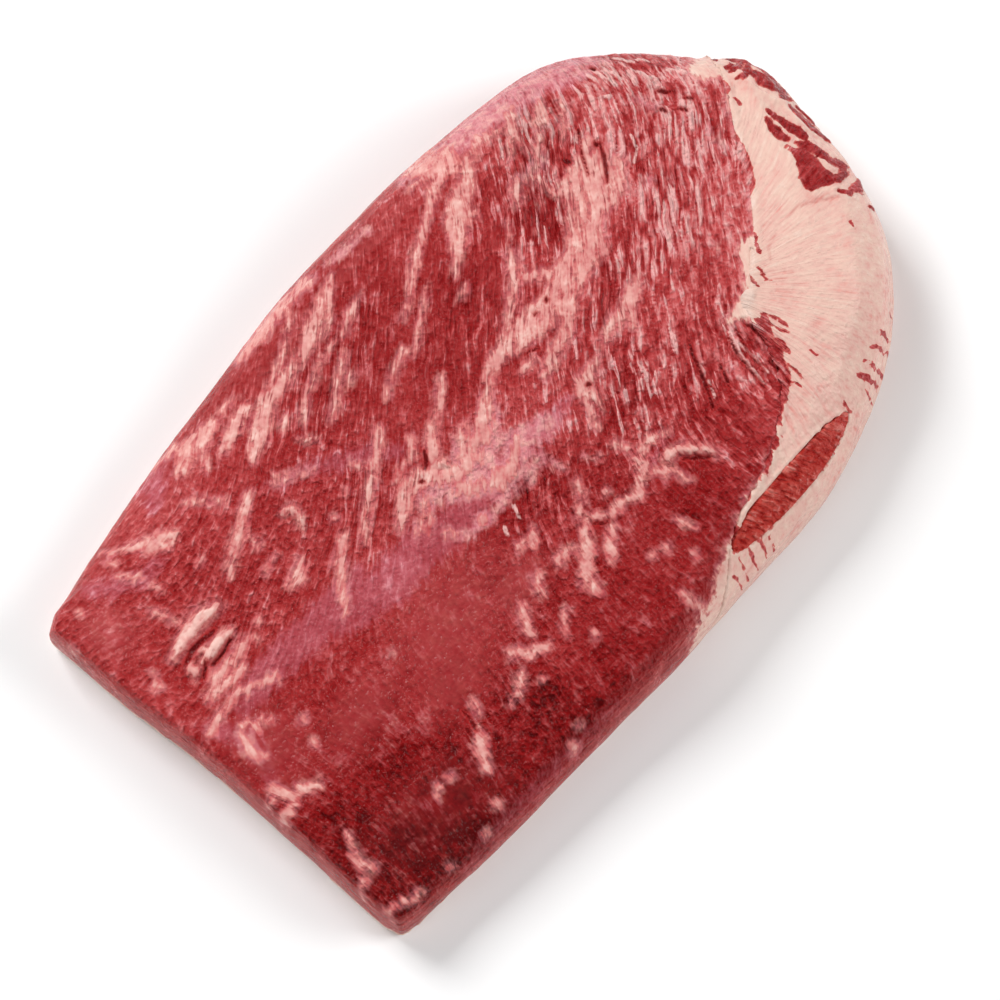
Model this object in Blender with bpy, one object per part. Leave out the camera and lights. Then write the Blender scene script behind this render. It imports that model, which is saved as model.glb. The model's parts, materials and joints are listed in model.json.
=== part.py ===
"""A whole raw beef brisket, lean side up, lying on its fat cap.

Three solids meet inside it. The flat muscle is the broad muscle of the lean side. The fat cap is the
trimmed layer underneath, which swells into a bank of hard fat at one corner of the thick end. The point
muscle is the second muscle: its edge shows as a dark spindle in the side of that bank.

+X runs from the square-cut thin end to the rounded thick end, +Y across, +Z up. The origin is the middle
of the base. All sizes are in metres.
"""

import math

import bmesh
import bpy
import numpy as np
from mathutils import Matrix

# Driving dimensions of the whole cut.
LENGTH = 0.464
WIDTH = 0.280
CUT_END_HALF_WIDTHS = (0.125, 0.117)
THIN_END_HEIGHT = 0.040
THICK_END_HEIGHT = 0.070

# Plan view: the width of the smooth outline before it swells, where it is widest, how square the rounded
# end is, the hollow and slant of the cut.
SMOOTH_WIDTH = 0.2862
WIDEST_X = 0.02
END_SQUARENESS = 2.45
CUT_HOLLOW = 0.003
CUT_SLANT = 0.003
CORNER_REACH = 0.006

# Where the outline swells out or in: the direction from the middle in degrees, how far in metres, and
# how many degrees it takes to die away.
OUTLINE_SWELLS = [
    (10.4, 0.0105, 7.9),
    (16.0, -0.0046, 5.8),
    (38.1, 0.0055, 9.1),
    (98.0, 0.0025, 14.8),
    (165.7, 0.0019, 6.4),
    (-23.4, -0.0025, 18.2),
    (-61.2, 0.0014, 11.4),
    (-85.7, -0.0027, 23.0),
    (-124.6, -0.0037, 19.0),
]

# The layers.
CAP_THICKNESS = 0.007
SEAM_DROP_REACH = 0.048
GAP = 0.0004

# The spindle of the point muscle: its middle in plan, its half sizes, and how it dips inwards.
POINT_MIDDLE = (0.0685, -0.1250)
POINT_HALF_SIZES = (0.047, 0.044, 0.0093)
POINT_DIP_DEG = 44.0

# The edge of the flat muscle against the bank of fat, in plan, from the thick end to the side.
FAT_BANK_EDGE = [
    (0.238, 0.0665),
    (0.220, 0.060),
    (0.203, 0.050),
    (0.197, 0.036),
    (0.185, 0.015),
    (0.167, -0.012),
    (0.140, -0.038),
    (0.116, -0.049),
    (0.108, -0.077),
    (0.103, -0.091),
    (0.090, -0.098),
    (0.069, -0.108),
    (0.038, -0.117),
    (0.018, -0.120),
    (0.004, -0.131),
    (-0.032, -0.150),
]

# The line inside the brisket that every section is drawn from.
SPINE_START = -0.115
SPINE_END = 0.100
CORE_SHARE = 0.08

# How finely the solids are divided.
STATIONS = 128
TOP_RINGS = 6
SHOULDER_RINGS = 7
SEAM_RINGS = 6
BASE_RINGS = 3

LEAN_RED = (0.30, 0.028, 0.030, 1)
POINT_RED = (0.38, 0.040, 0.034, 1)
FAT_CREAM = (0.80, 0.56, 0.48, 1)


def smooth_step(low, high, value):
    """0 below low, 1 above high, and a smooth rise between them."""
    share = np.clip((value - low) / (high - low), 0, 1)
    return share * share * (3 - 2 * share)


def signed_power(value, power):
    return np.sign(value) * np.abs(value) ** power


def outline():
    """The widest contour in plan: STATIONS points, anticlockwise from the middle of the cut end."""
    across = np.linspace(1, -1, 201)
    cut_x = CUT_HOLLOW * (1 - across**2) - CUT_SLANT * across / 2 - LENGTH / 2
    cut_y = np.where(across < 0, CUT_END_HALF_WIDTHS[0], CUT_END_HALF_WIDTHS[1]) * across
    near_x, near_y = side(cut_x[-1], CUT_END_HALF_WIDTHS[0])
    far_x, far_y = side(cut_x[0], CUT_END_HALF_WIDTHS[1])
    turn = np.linspace(-math.pi / 2, math.pi / 2, 400)
    end_x = WIDEST_X + (LENGTH / 2 - WIDEST_X) * signed_power(np.cos(turn), 2 / END_SQUARENESS)
    end_y = SMOOTH_WIDTH / 2 * signed_power(np.sin(turn), 2 / END_SQUARENESS)
    x = np.concatenate([cut_x[100:-1], near_x, end_x, far_x[::-1], cut_x[1:100]])
    y = np.concatenate([cut_y[100:-1], -near_y, end_y, far_y[::-1], cut_y[1:100]])
    points = resampled(swollen(soften(resampled(np.stack([x, y], axis=1), 1200))), STATIONS)
    low, high = points.min(axis=0), points.max(axis=0)
    return (points - (low + high) / 2) / (high - low) * (LENGTH, WIDTH)


def side(cut_x, half_width):
    """One long side, from the cut to the widest place: how far along, and how far out."""
    x = np.linspace(cut_x, WIDEST_X, 200)
    return x, SMOOTH_WIDTH / 2 - (SMOOTH_WIDTH / 2 - half_width) * ((WIDEST_X - x) / (WIDEST_X - cut_x)) ** 2


def swollen(points):
    """The outline with its swells, each dying away on both sides."""
    direction = np.degrees(np.arctan2(points[:, 1], points[:, 0]))
    out = np.zeros(len(points))
    for middle, distance, spread in OUTLINE_SWELLS:
        away = (direction - middle + 180) % 360 - 180
        out += distance * np.exp(-((away / spread) ** 2))
    return points * (1 + out / np.hypot(*points.T))[:, None]


def resampled(points, count):
    """The closed line again, with its points evenly spaced."""
    closed = np.vstack([points, points[:1]])
    run = np.concatenate([[0], np.cumsum(np.linalg.norm(np.diff(closed, axis=0), axis=1))])
    places = np.linspace(0, run[-1], count, endpoint=False)
    return np.stack([np.interp(places, run, closed[:, axis]) for axis in (0, 1)], axis=1)


def soften(points):
    """Rounds the corners by averaging along the line over CORNER_REACH, then keeps STATIONS points."""
    half = int(CORNER_REACH / np.linalg.norm(points[1] - points[0]))
    total = sum(np.roll(points, shift, axis=0) for shift in range(-half, half + 1))
    return resampled(total / (2 * half + 1), STATIONS)


def top_height(x, y):
    """Height of the lean side: thicker towards the rounded end, with slow swells and hollows."""
    rise = smooth_step(-0.22, 0.16, x)
    height = THIN_END_HEIGHT + (THICK_END_HEIGHT - THIN_END_HEIGHT) * rise
    swell = 0.0022 * math.sin(26 * x + 14 * y + 0.6) * math.cos(21 * y - 9 * x)
    crown = 0.006 * (y / (WIDTH / 2)) ** 2
    return float(height + swell - crown)


def shoulder_run(x, y):
    """How far in from the outline the top surface begins to roll over."""
    thick_end = smooth_step(0.10, 0.21, x)
    bank_side = smooth_step(0.09, 0.13, -y) * smooth_step(-0.03, 0.05, x)
    far_side = smooth_step(0.09, 0.13, y)
    run = 0.016 + max(0.010 * far_side, 0.026 * thick_end, 0.030 * bank_side)
    cut_end = smooth_step(-0.195, -0.225, x)
    return float(run * (1 - cut_end) + 0.007 * cut_end)


def widest_height(x):
    """How high above the base the side stands out furthest."""
    return float(0.017 - 0.009 * smooth_step(-0.195, -0.225, x) + 0.004 * smooth_step(0.05, 0.2, x))


def sections():
    """For each station its place on the spine, its direction outwards, and the sizes of its profile."""
    found = []
    for place in outline():
        core = np.array([min(max(place[0], SPINE_START), SPINE_END), 0.0])
        radius = float(np.linalg.norm(place - core))
        run, bulge = shoulder_run(*place), widest_height(place[0])
        found.append({"core": core, "out": (place - core) / radius, "radius": radius, "run": run, "bulge": bulge})
    return found


def plan(section, radius):
    return section["core"] + section["out"] * radius


def outer(section, walk):
    """A point on the outer skin as (radius, height). The walk is 0 by the spine, 1 where the shoulder
    begins, 2 at the widest contour and 3 on the base."""
    start, bulge = section["radius"] - section["run"], section["bulge"]
    if walk <= 1:
        radius = start * (CORE_SHARE + (1 - CORE_SHARE) * walk)
        return radius, top_height(*plan(section, radius))
    if walk <= 2:
        turn = (walk - 1) * math.pi / 2
        radius = start + section["run"] * math.sin(turn)
        crest = top_height(*plan(section, radius))
        return radius, bulge + (crest - bulge) * math.cos(turn)
    turn = (walk - 2) * math.pi / 2
    return section["radius"] - 0.35 * bulge * (1 - math.cos(turn)), bulge * (1 - math.sin(turn))


def walk_at(section, radius):
    """The walk at which the skin above the widest contour reaches this radius."""
    start = section["radius"] - section["run"]
    if radius < start:
        return (radius / start - CORE_SHARE) / (1 - CORE_SHARE)
    return 1 + math.asin(min((radius - start) / section["run"], 1)) / (math.pi / 2)


def bank_walk(section):
    """The walk at which this section crosses the edge of the fat bank. Where there is no bank, the fat
    begins CAP_THICKNESS above the base."""
    core, out = section["core"], section["out"]
    for first, last in zip(FAT_BANK_EDGE, FAT_BANK_EDGE[1:]):
        run = np.subtract(last, first)
        across = np.array([[out[0], -run[0]], [out[1], -run[1]]])
        radius, share = np.linalg.solve(across, np.subtract(first, core))
        if 0 <= share <= 1 and 0 < radius <= section["radius"]:
            return walk_at(section, radius)
    return 2 + math.asin(max(1 - CAP_THICKNESS / section["bulge"], 0)) / (math.pi / 2)


def seam_walks(found):
    """For each section, how far down the outer skin the flat muscle reaches before the fat begins."""
    walks = np.array([bank_walk(section) for section in found])
    for _ in range(4):
        walks = 0.25 * np.roll(walks, 1) + 0.5 * walks + 0.25 * np.roll(walks, -1)
    return walks


def skin_step(section, walk, distance):
    """The walk that lies this distance further down the outer skin."""
    here, ahead = outer(section, walk), outer(section, walk + 0.01)
    return walk + 0.01 * distance / math.dist(here, ahead)


def skin_rings(found, first, last, count):
    """Rings of the outer skin between two walks, each given for every section."""
    return [
        ring_of(found, [outer(s, a + (b - a) * k / count) for s, a, b in zip(found, first, last)])
        for k in range(count + 1)
    ]


def seam_rings(found, walks):
    """Rings of the seam under the flat muscle, from its rim inwards: it drops, then levels off."""
    rings = []
    for k in range(1, SEAM_RINGS + 1):
        points = []
        for section, walk in zip(found, walks):
            rim_radius, rim_height = outer(section, walk)
            core = CORE_SHARE * (section["radius"] - section["run"])
            radius = rim_radius + (core - rim_radius) * k / SEAM_RINGS
            drop = smooth_step(0, SEAM_DROP_REACH, rim_radius - radius)
            points.append((radius, float(rim_height + (CAP_THICKNESS - rim_height) * drop)))
        rings.append(ring_of(found, points))
    return rings


def ring_of(found, points):
    return [(*plan(section, radius), height) for section, (radius, height) in zip(found, points)]


def flat_muscle(found, walks):
    """The broad muscle: its top and side down to the seam, and the seam back in to the spine."""
    none, shoulder = np.zeros(STATIONS), np.minimum(walks, 1)
    top = skin_rings(found, none, shoulder, TOP_RINGS)
    side = skin_rings(found, shoulder, walks, SHOULDER_RINGS)[1:]
    return loft("flat_muscle", top + side + seam_rings(found, walks), LEAN_RED)


def fat_cap(found, walks):
    """The layer underneath: the seam GAP below the muscle, its own skin down the side, and the base."""
    seam = [[(x, y, z - GAP) for x, y, z in ring] for ring in seam_rings(found, walks)]
    rims = np.array([skin_step(section, walk, GAP) for section, walk in zip(found, walks)])
    skin = skin_rings(found, rims, np.full(STATIONS, 3.0), SHOULDER_RINGS)
    base = []
    for k in range(1, BASE_RINGS + 1):
        keep = 1 - (1 - CORE_SHARE) * k / BASE_RINGS
        base.append(ring_of(found, [(outer(section, 3)[0] * keep, 0.0) for section in found]))
    return loft("fat_cap", seam[::-1] + skin + base, FAT_CREAM, inward=len(seam))


def loft(name, rings, colour, inward=0):
    """A closed solid through rings of STATIONS points. The first rings, as many as inward says, are split
    into triangles the other way, to match the seam that they lie against."""
    model = bmesh.new()
    rows = [[model.verts.new(point) for point in ring] for ring in rings]
    for k, (upper, lower) in enumerate(zip(rows, rows[1:])):
        for i in range(STATIONS):
            j = (i + 1) % STATIONS
            corners = [upper[i], lower[i], lower[j], upper[j]]
            if k < inward:
                corners = corners[1:] + corners[:1]
            add_face(model, corners[:3])
            add_face(model, [corners[0], *corners[2:]])
    for row in (rows[0], rows[-1]):
        for i in range(STATIONS // 2):
            add_face(model, [row[i], row[i + 1], row[-i - 1], row[-i % STATIONS]])
    bmesh.ops.remove_doubles(model, verts=model.verts, dist=1e-6)
    bmesh.ops.triangulate(model, faces=model.faces)
    bmesh.ops.recalc_face_normals(model, faces=model.faces)
    return finished(name, model, colour)


def add_face(model, corners):
    """A face through these corners, where a corner may come twice."""
    corners = list(dict.fromkeys(corners))
    if len(corners) > 2:
        model.faces.new(corners)


def finished(name, model, colour):
    """The bmesh as a smooth-shaded object with its own material."""
    mesh = bpy.data.meshes.new(name)
    model.to_mesh(mesh)
    model.free()
    mesh.shade_smooth()
    mesh.set_sharp_from_angle(angle=math.radians(50))
    made = bpy.data.objects.new(name, mesh)
    bpy.context.scene.collection.objects.link(made)
    material = bpy.data.materials.new(name)
    material.use_nodes = True
    shader = material.node_tree.nodes["Principled BSDF"]
    shader.inputs["Base Color"].default_value = colour
    shader.inputs["Roughness"].default_value = 0.35
    shader.inputs["Metallic"].default_value = 0.0
    made.data.materials.append(material)
    return made


def helper(made):
    """Marks a solid that only shapes the others."""
    made.hide_render = True
    made.display_type = "WIRE"
    return made


def spindle(name, found, grown):
    """A flattened spindle lying in the shoulder of the fat bank, dipping inwards under the flat."""
    middle = np.array(POINT_MIDDLE)
    facing = min(found, key=lambda s: abs(s["core"][0] - middle[0]) + 10 * (s["out"][1] > 0))
    height = outer(facing, walk_at(facing, -POINT_MIDDLE[1]))[1]
    model = bmesh.new()
    bmesh.ops.create_uvsphere(model, u_segments=28, v_segments=16, radius=1)
    sizes = Matrix.Diagonal((*[half + grown for half in POINT_HALF_SIZES], 1))
    turned = Matrix.Rotation(math.radians(-POINT_DIP_DEG), 4, "X")
    place = Matrix.Translation((*POINT_MIDDLE, height))
    bmesh.ops.transform(model, verts=model.verts, matrix=place @ turned @ sizes)
    return finished(name, model, POINT_RED)


def combine(target, operand, operation):
    modifier = target.modifiers.new(operation.title(), "BOOLEAN")
    modifier.operation = operation
    modifier.solver = "EXACT"
    modifier.object = operand


def main():
    for old in list(bpy.data.objects):
        bpy.data.objects.remove(old)
    found = sections()
    walks = seam_walks(found)
    flat_muscle(found, walks)
    fat = fat_cap(found, walks)
    whole = helper(loft("whole_form", skin_rings(found, np.zeros(STATIONS), np.full(STATIONS, 3.0), 24), LEAN_RED))
    point = spindle("point_muscle", found, 0.0)
    combine(point, whole, "INTERSECT")
    combine(fat, helper(spindle("point_pocket", found, GAP)), "DIFFERENCE")


main()
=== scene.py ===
# %% [markdown]
# # A raw beef brisket
#
# The solids of the brisket come in first: the flat muscle, the fat cap under it, and the point muscle
# that shows in the fat. They give the size and place of everything. This lesson dresses them: it copies
# each solid, gives the copy a fine skin with the relief of meat, and mixes the finishes. All lengths are
# in metres, and the lists that are in millimetres say so.

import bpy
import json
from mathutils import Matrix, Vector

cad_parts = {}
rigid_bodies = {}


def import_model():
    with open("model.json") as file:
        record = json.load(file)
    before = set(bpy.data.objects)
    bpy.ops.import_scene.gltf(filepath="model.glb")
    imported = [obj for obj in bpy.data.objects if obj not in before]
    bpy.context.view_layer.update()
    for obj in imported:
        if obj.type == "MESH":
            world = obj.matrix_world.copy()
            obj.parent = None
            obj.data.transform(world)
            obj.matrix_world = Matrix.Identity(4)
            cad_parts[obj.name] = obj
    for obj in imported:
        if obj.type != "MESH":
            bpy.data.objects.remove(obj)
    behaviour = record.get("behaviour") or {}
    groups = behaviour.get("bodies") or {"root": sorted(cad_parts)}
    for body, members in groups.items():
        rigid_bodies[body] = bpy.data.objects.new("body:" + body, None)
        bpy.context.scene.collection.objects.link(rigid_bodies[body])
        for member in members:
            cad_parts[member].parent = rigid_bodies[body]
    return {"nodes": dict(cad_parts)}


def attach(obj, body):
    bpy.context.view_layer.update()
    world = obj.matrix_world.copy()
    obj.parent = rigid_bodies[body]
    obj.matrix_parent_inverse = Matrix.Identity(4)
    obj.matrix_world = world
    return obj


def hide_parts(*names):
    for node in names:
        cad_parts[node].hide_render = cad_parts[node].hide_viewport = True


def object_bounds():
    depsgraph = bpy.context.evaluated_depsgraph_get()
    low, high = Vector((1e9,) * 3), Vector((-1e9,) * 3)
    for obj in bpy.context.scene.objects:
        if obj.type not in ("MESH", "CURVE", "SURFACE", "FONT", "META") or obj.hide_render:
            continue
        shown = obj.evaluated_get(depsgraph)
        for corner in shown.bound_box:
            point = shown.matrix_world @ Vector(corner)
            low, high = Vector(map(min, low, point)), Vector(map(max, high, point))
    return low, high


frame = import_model()
cad_low, cad_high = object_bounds()
print("the solids reach from", tuple(cad_low), "to", tuple(cad_high))

# %% What the lesson needs from Blender and Python
import json
import math
from types import SimpleNamespace

import bmesh
import bpy
import numpy as np
from mathutils import Euler, Vector, noise
from mathutils.bvhtree import BVHTree

MM = 0.001


def deselect_all():
    """Leaves nothing selected, so that an operator acts only on what is chosen next."""
    if bpy.context.mode != "OBJECT":
        bpy.ops.object.mode_set(mode="OBJECT")
    bpy.ops.object.select_all(action="DESELECT")


def choose(piece):
    """Makes this the one selected and active object."""
    deselect_all()
    piece.select_set(True)
    bpy.context.view_layer.objects.active = piece


# %% [markdown]
# ## Camera, light and table
#
# The brisket is seen from well above, from over its near corner, through a long lens that keeps its
# edges almost parallel. It could be lit by one lamp, but meat is wet, and a single lamp gives hard
# points of light. A large soft lamp beyond the far side rakes over the fibres and shows their relief,
# a weaker one fills the near walls, and a bright room does the rest.

# %% Camera
CAMERA_TILT = math.radians(14)
CAMERA_TURN = math.radians(-48.9)
CAMERA_AIM = Vector((-0.0311, -0.0165, 0.030))
CAMERA_DISTANCE = 2.0
CAMERA_LENS = 142.9

view_turn = Euler((CAMERA_TILT, 0, CAMERA_TURN))
eye = CAMERA_AIM + view_turn.to_matrix() @ Vector((0, 0, CAMERA_DISTANCE))
bpy.ops.object.camera_add(location=eye, rotation=view_turn)
camera = bpy.context.object
camera.data.lens = CAMERA_LENS
bpy.context.scene.camera = camera
print("the camera stands at", tuple(round(v, 3) for v in eye))

# %% Lamps and room
LAMPS = {  # where each lamp hangs, how wide it is in metres, and its power in watts
    "lamp_key": ((0.1, 2.3, 2.2), 1.3, 84.0),
    "lamp_side": ((-2.4, 0.2, 1.7), 1.6, 23.0),
    "lamp_fill": ((1.9, -2.0, 1.9), 1.6, 66.0),
}
ROOM_BRIGHTNESS = 0.20

for lamp_name, (place, width, power) in LAMPS.items():
    bpy.ops.object.light_add(type="AREA", location=place)
    lamp = bpy.context.object
    lamp.name = lamp_name
    lamp.rotation_euler = (CAMERA_AIM - Vector(place)).to_track_quat("-Z", "Y").to_euler()
    lamp.data.size = width
    lamp.data.energy = power
    lamp.visible_camera = False

room = bpy.data.worlds.new("room")
bpy.context.scene.world = room
room.use_nodes = True
room.node_tree.nodes["Background"].inputs["Color"].default_value = (1, 1, 1, 1)
room.node_tree.nodes["Background"].inputs["Strength"].default_value = ROOM_BRIGHTNESS
bpy.context.scene.view_settings.view_transform = "Standard"
print("lamps hung:", ", ".join(LAMPS))

# %% [markdown]
# ## Mixing finishes
#
# A finish is a net of nodes. Drawing one by hand means many small boxes of arithmetic. Here one small
# class holds a socket and lets it be added, multiplied or subtracted like a number, so that a line of
# Python adds the boxes, and one method adds any other node.


# %% A socket that can be used in a sum
class Wire:
    """One output of a node, which can be used in a sum like a number."""

    def __init__(self, finish, socket):
        self.finish = finish
        self.socket = socket

    def sum(self, how, first, second):
        return self.finish.node("ShaderNodeMath", {"operation": how}, {0: first, 1: second})

    def __add__(self, other):
        return self.sum("ADD", self, other)

    def __radd__(self, other):
        return self.sum("ADD", other, self)

    def __sub__(self, other):
        return self.sum("SUBTRACT", self, other)

    def __rsub__(self, other):
        return self.sum("SUBTRACT", other, self)

    def __mul__(self, other):
        return self.sum("MULTIPLY", self, other)

    def __rmul__(self, other):
        return self.sum("MULTIPLY", other, self)

    def step(self, low, high):
        """0 below low, 1 above high, and a soft step between."""
        settings = {"interpolation_type": "SMOOTHSTEP"}
        return self.finish.node("ShaderNodeMapRange", settings, {0: self, 1: low, 2: high, 3: 0.0, 4: 1.0})


# %% A finish and its nodes
NOISE_SPREAD = 6.5  # noise keeps close to its middle, so it is spread by this much


class Finish:
    """A material that is built node by node."""

    def __init__(self, name):
        self.material = bpy.data.materials.new(name)
        self.material.use_nodes = True
        self.tree = self.material.node_tree
        self.tree.nodes.clear()

    def node(self, kind, settings=None, inputs=None, output=0):
        """Adds a node: its settings first, then the values or wires of its sockets."""
        node = self.tree.nodes.new(kind)
        for name, value in (settings or {}).items():
            if name == "stops":
                self.set_stops(node.color_ramp.elements, value)
            else:
                setattr(node, name, value)
        for key, value in (inputs or {}).items():
            if isinstance(value, Wire):
                self.tree.links.new(value.socket, node.inputs[key])
            else:
                node.inputs[key].default_value = value
        return Wire(self, node.outputs[output]) if len(node.outputs) else node

    def set_stops(self, elements, stops):
        while len(elements) < len(stops):
            elements.new(1.0)
        for element, (position, paint) in zip(elements, stops):
            element.position, element.color = position, paint

    def ramp(self, share, stops):
        """The colour at this share of the way along a row of stops."""
        return self.node("ShaderNodeValToRGB", {"stops": stops}, {0: share})

    def attribute(self, name, output=2):
        return self.node("ShaderNodeAttribute", {"attribute_name": name}, output=output)

    def mix(self, factor, first, second):
        """The first colour where the factor is 0, and the second where it is 1."""
        return self.node("ShaderNodeMix", {"data_type": "RGBA"}, {0: factor, 6: first, 7: second}, output=2)

    def stretched(self, place, sizes):
        """A place counted in steps of these sizes, so that a pattern of size 1 comes out stretched."""
        scale = tuple(1 / size for size in sizes)
        return self.node("ShaderNodeVectorMath", {"operation": "MULTIPLY"}, {0: place, 1: scale})

    def grains(self, place, sizes, detail=2.0, roughness=0.55):
        """Soft noise around 0, mostly from -1 to 1, its grains as long, wide and high as the sizes."""
        inputs = {"Vector": self.stretched(place, sizes), "Scale": 1.0}
        inputs.update({"Detail": detail, "Roughness": roughness})
        return (self.node("ShaderNodeTexNoise", {}, inputs) - 0.5) * NOISE_SPREAD

    def cells(self, place, sizes):
        """Long cells: how far a place is from its cell's middle, and the cell's number, -0.5 to 0.5."""
        inputs = {"Vector": self.stretched(place, (*sizes, 1.0)), "Scale": 1.0}
        pattern = self.node("ShaderNodeTexVoronoi", {"voronoi_dimensions": "2D"}, inputs)
        paint = Wire(self, pattern.socket.node.outputs["Color"])
        return pattern, self.node("ShaderNodeSeparateXYZ", {}, {0: paint}) - 0.5


def colour(red, green, blue):
    """A paint-shop colour, 0 to 255, as the shader wants it."""
    parts = [value / 255 for value in (red, green, blue)]
    return tuple(p / 12.92 if p <= 0.04045 else ((p + 0.055) / 1.055) ** 2.4 for p in parts) + (1.0,)


# %% [markdown]
# ## The table
#
# A plain pale sheet, wide enough that its edge is never seen.

# %% Table
TABLE_WIDTH = 12
TABLE_GAP = 0.0002  # keeps the two surfaces from flickering into each other

bpy.ops.mesh.primitive_plane_add(size=TABLE_WIDTH, location=(0, 0, cad_low[2] - TABLE_GAP))
table_top = bpy.context.object
table_top.name = "table_top"
pale = Finish("pale_table")
paint = pale.node("ShaderNodeBsdfPrincipled", {}, {"Base Color": colour(246, 246, 246), "Roughness": 0.9})
pale.node("ShaderNodeOutputMaterial", {}, {"Surface": paint})
table_top.data.materials.append(pale.material)
print("the table is", TABLE_WIDTH, "m wide")

# %% [markdown]
# ## Which way the fibres run
#
# The fibres of the flat muscle fan out over the brisket, and every streak of fat follows them. A pattern
# laid straight along one axis would look printed. So a few places are given with the direction of the
# fibres there, in degrees from +X, and two maps are worked out on a coarse grid: how far along the
# fibres a place lies, and how far across them. Each cell settles among its neighbours until the slopes
# of the maps fit the directions as well as they can.

# %% Fibre directions: x and y in mm, and degrees
FIBRE_GUIDES = [
    (-210, 50, -34), (-172, 98, -38), (-140, 59, -4), (-86, 107, 5), (-36, 112, 20), (26, 85, 30),
    (-65, 18, 39), (63, 23, 43), (110, 90, 50), (140, 60, 50), (158, 30, 54), (187, 30, 52),
    (172, 85, 92), (185, 60, 88), (124, -17, 58), (80, -50, 61), (100, -65, 76), (72, -90, 111),
    (30, -28, 62), (35, -95, 102), (-22, -33, 62), (-32, -98, 93), (-88, -48, 73), (-140, -94, 69),
    (-182, -38, 93), (-213, -92, 81),
]
CELL = 6.0
SETTLING_ROUNDS = 5000

grid_x = np.arange(-246.0, 247.0, CELL)
grid_y = np.arange(-168.0, 163.0, CELL)
cell_x, cell_y = np.meshgrid(grid_x, grid_y, indexing="ij")
guides = np.array(FIBRE_GUIDES, dtype=float)
nearness = 1 / (np.hypot(cell_x[..., None] - guides[:, 0], cell_y[..., None] - guides[:, 1]) + 12) ** 3
fibre_angle = np.radians((nearness * guides[:, 2]).sum(-1) / nearness.sum(-1))


def settled(slope_x, slope_y):
    """The map over the grid whose slopes come nearest to these."""
    step_x = (slope_x[1:] + slope_x[:-1]) / 2 * CELL
    step_y = (slope_y[:, 1:] + slope_y[:, :-1]) / 2 * CELL
    level = cell_x * slope_x.mean() + cell_y * slope_y.mean()
    neighbours = np.full(level.shape, 4.0)
    neighbours[[0, -1]] -= 1
    neighbours[:, [0, -1]] -= 1
    for _ in range(SETTLING_ROUNDS):
        total = np.zeros(level.shape)
        total[1:] += level[:-1] + step_x
        total[:-1] += level[1:] - step_x
        total[:, 1:] += level[:, :-1] + step_y
        total[:, :-1] += level[:, 1:] - step_y
        level = total / neighbours
    return level


map_along = settled(np.cos(fibre_angle), np.sin(fibre_angle))
map_across = settled(-np.sin(fibre_angle), np.cos(fibre_angle))
reach_along, reach_across = round(float(np.ptp(map_along))), round(float(np.ptp(map_across)))
print("the fibres run", reach_along, "mm along and", reach_across, "mm across")


def read_map(chart, plan):
    """The value of a map at places on the plan, in mm, blended from the four cells around each."""
    column = np.clip((plan[:, 0] - grid_x[0]) / CELL, 0, len(grid_x) - 1.001)
    row = np.clip((plan[:, 1] - grid_y[0]) / CELL, 0, len(grid_y) - 1.001)
    i, j = column.astype(int), row.astype(int)
    u, v = column - i, row - j
    near = chart[i, j] * (1 - v) + chart[i, j + 1] * v
    far = chart[i + 1, j] * (1 - v) + chart[i + 1, j + 1] * v
    return near * (1 - u) + far * u
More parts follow.
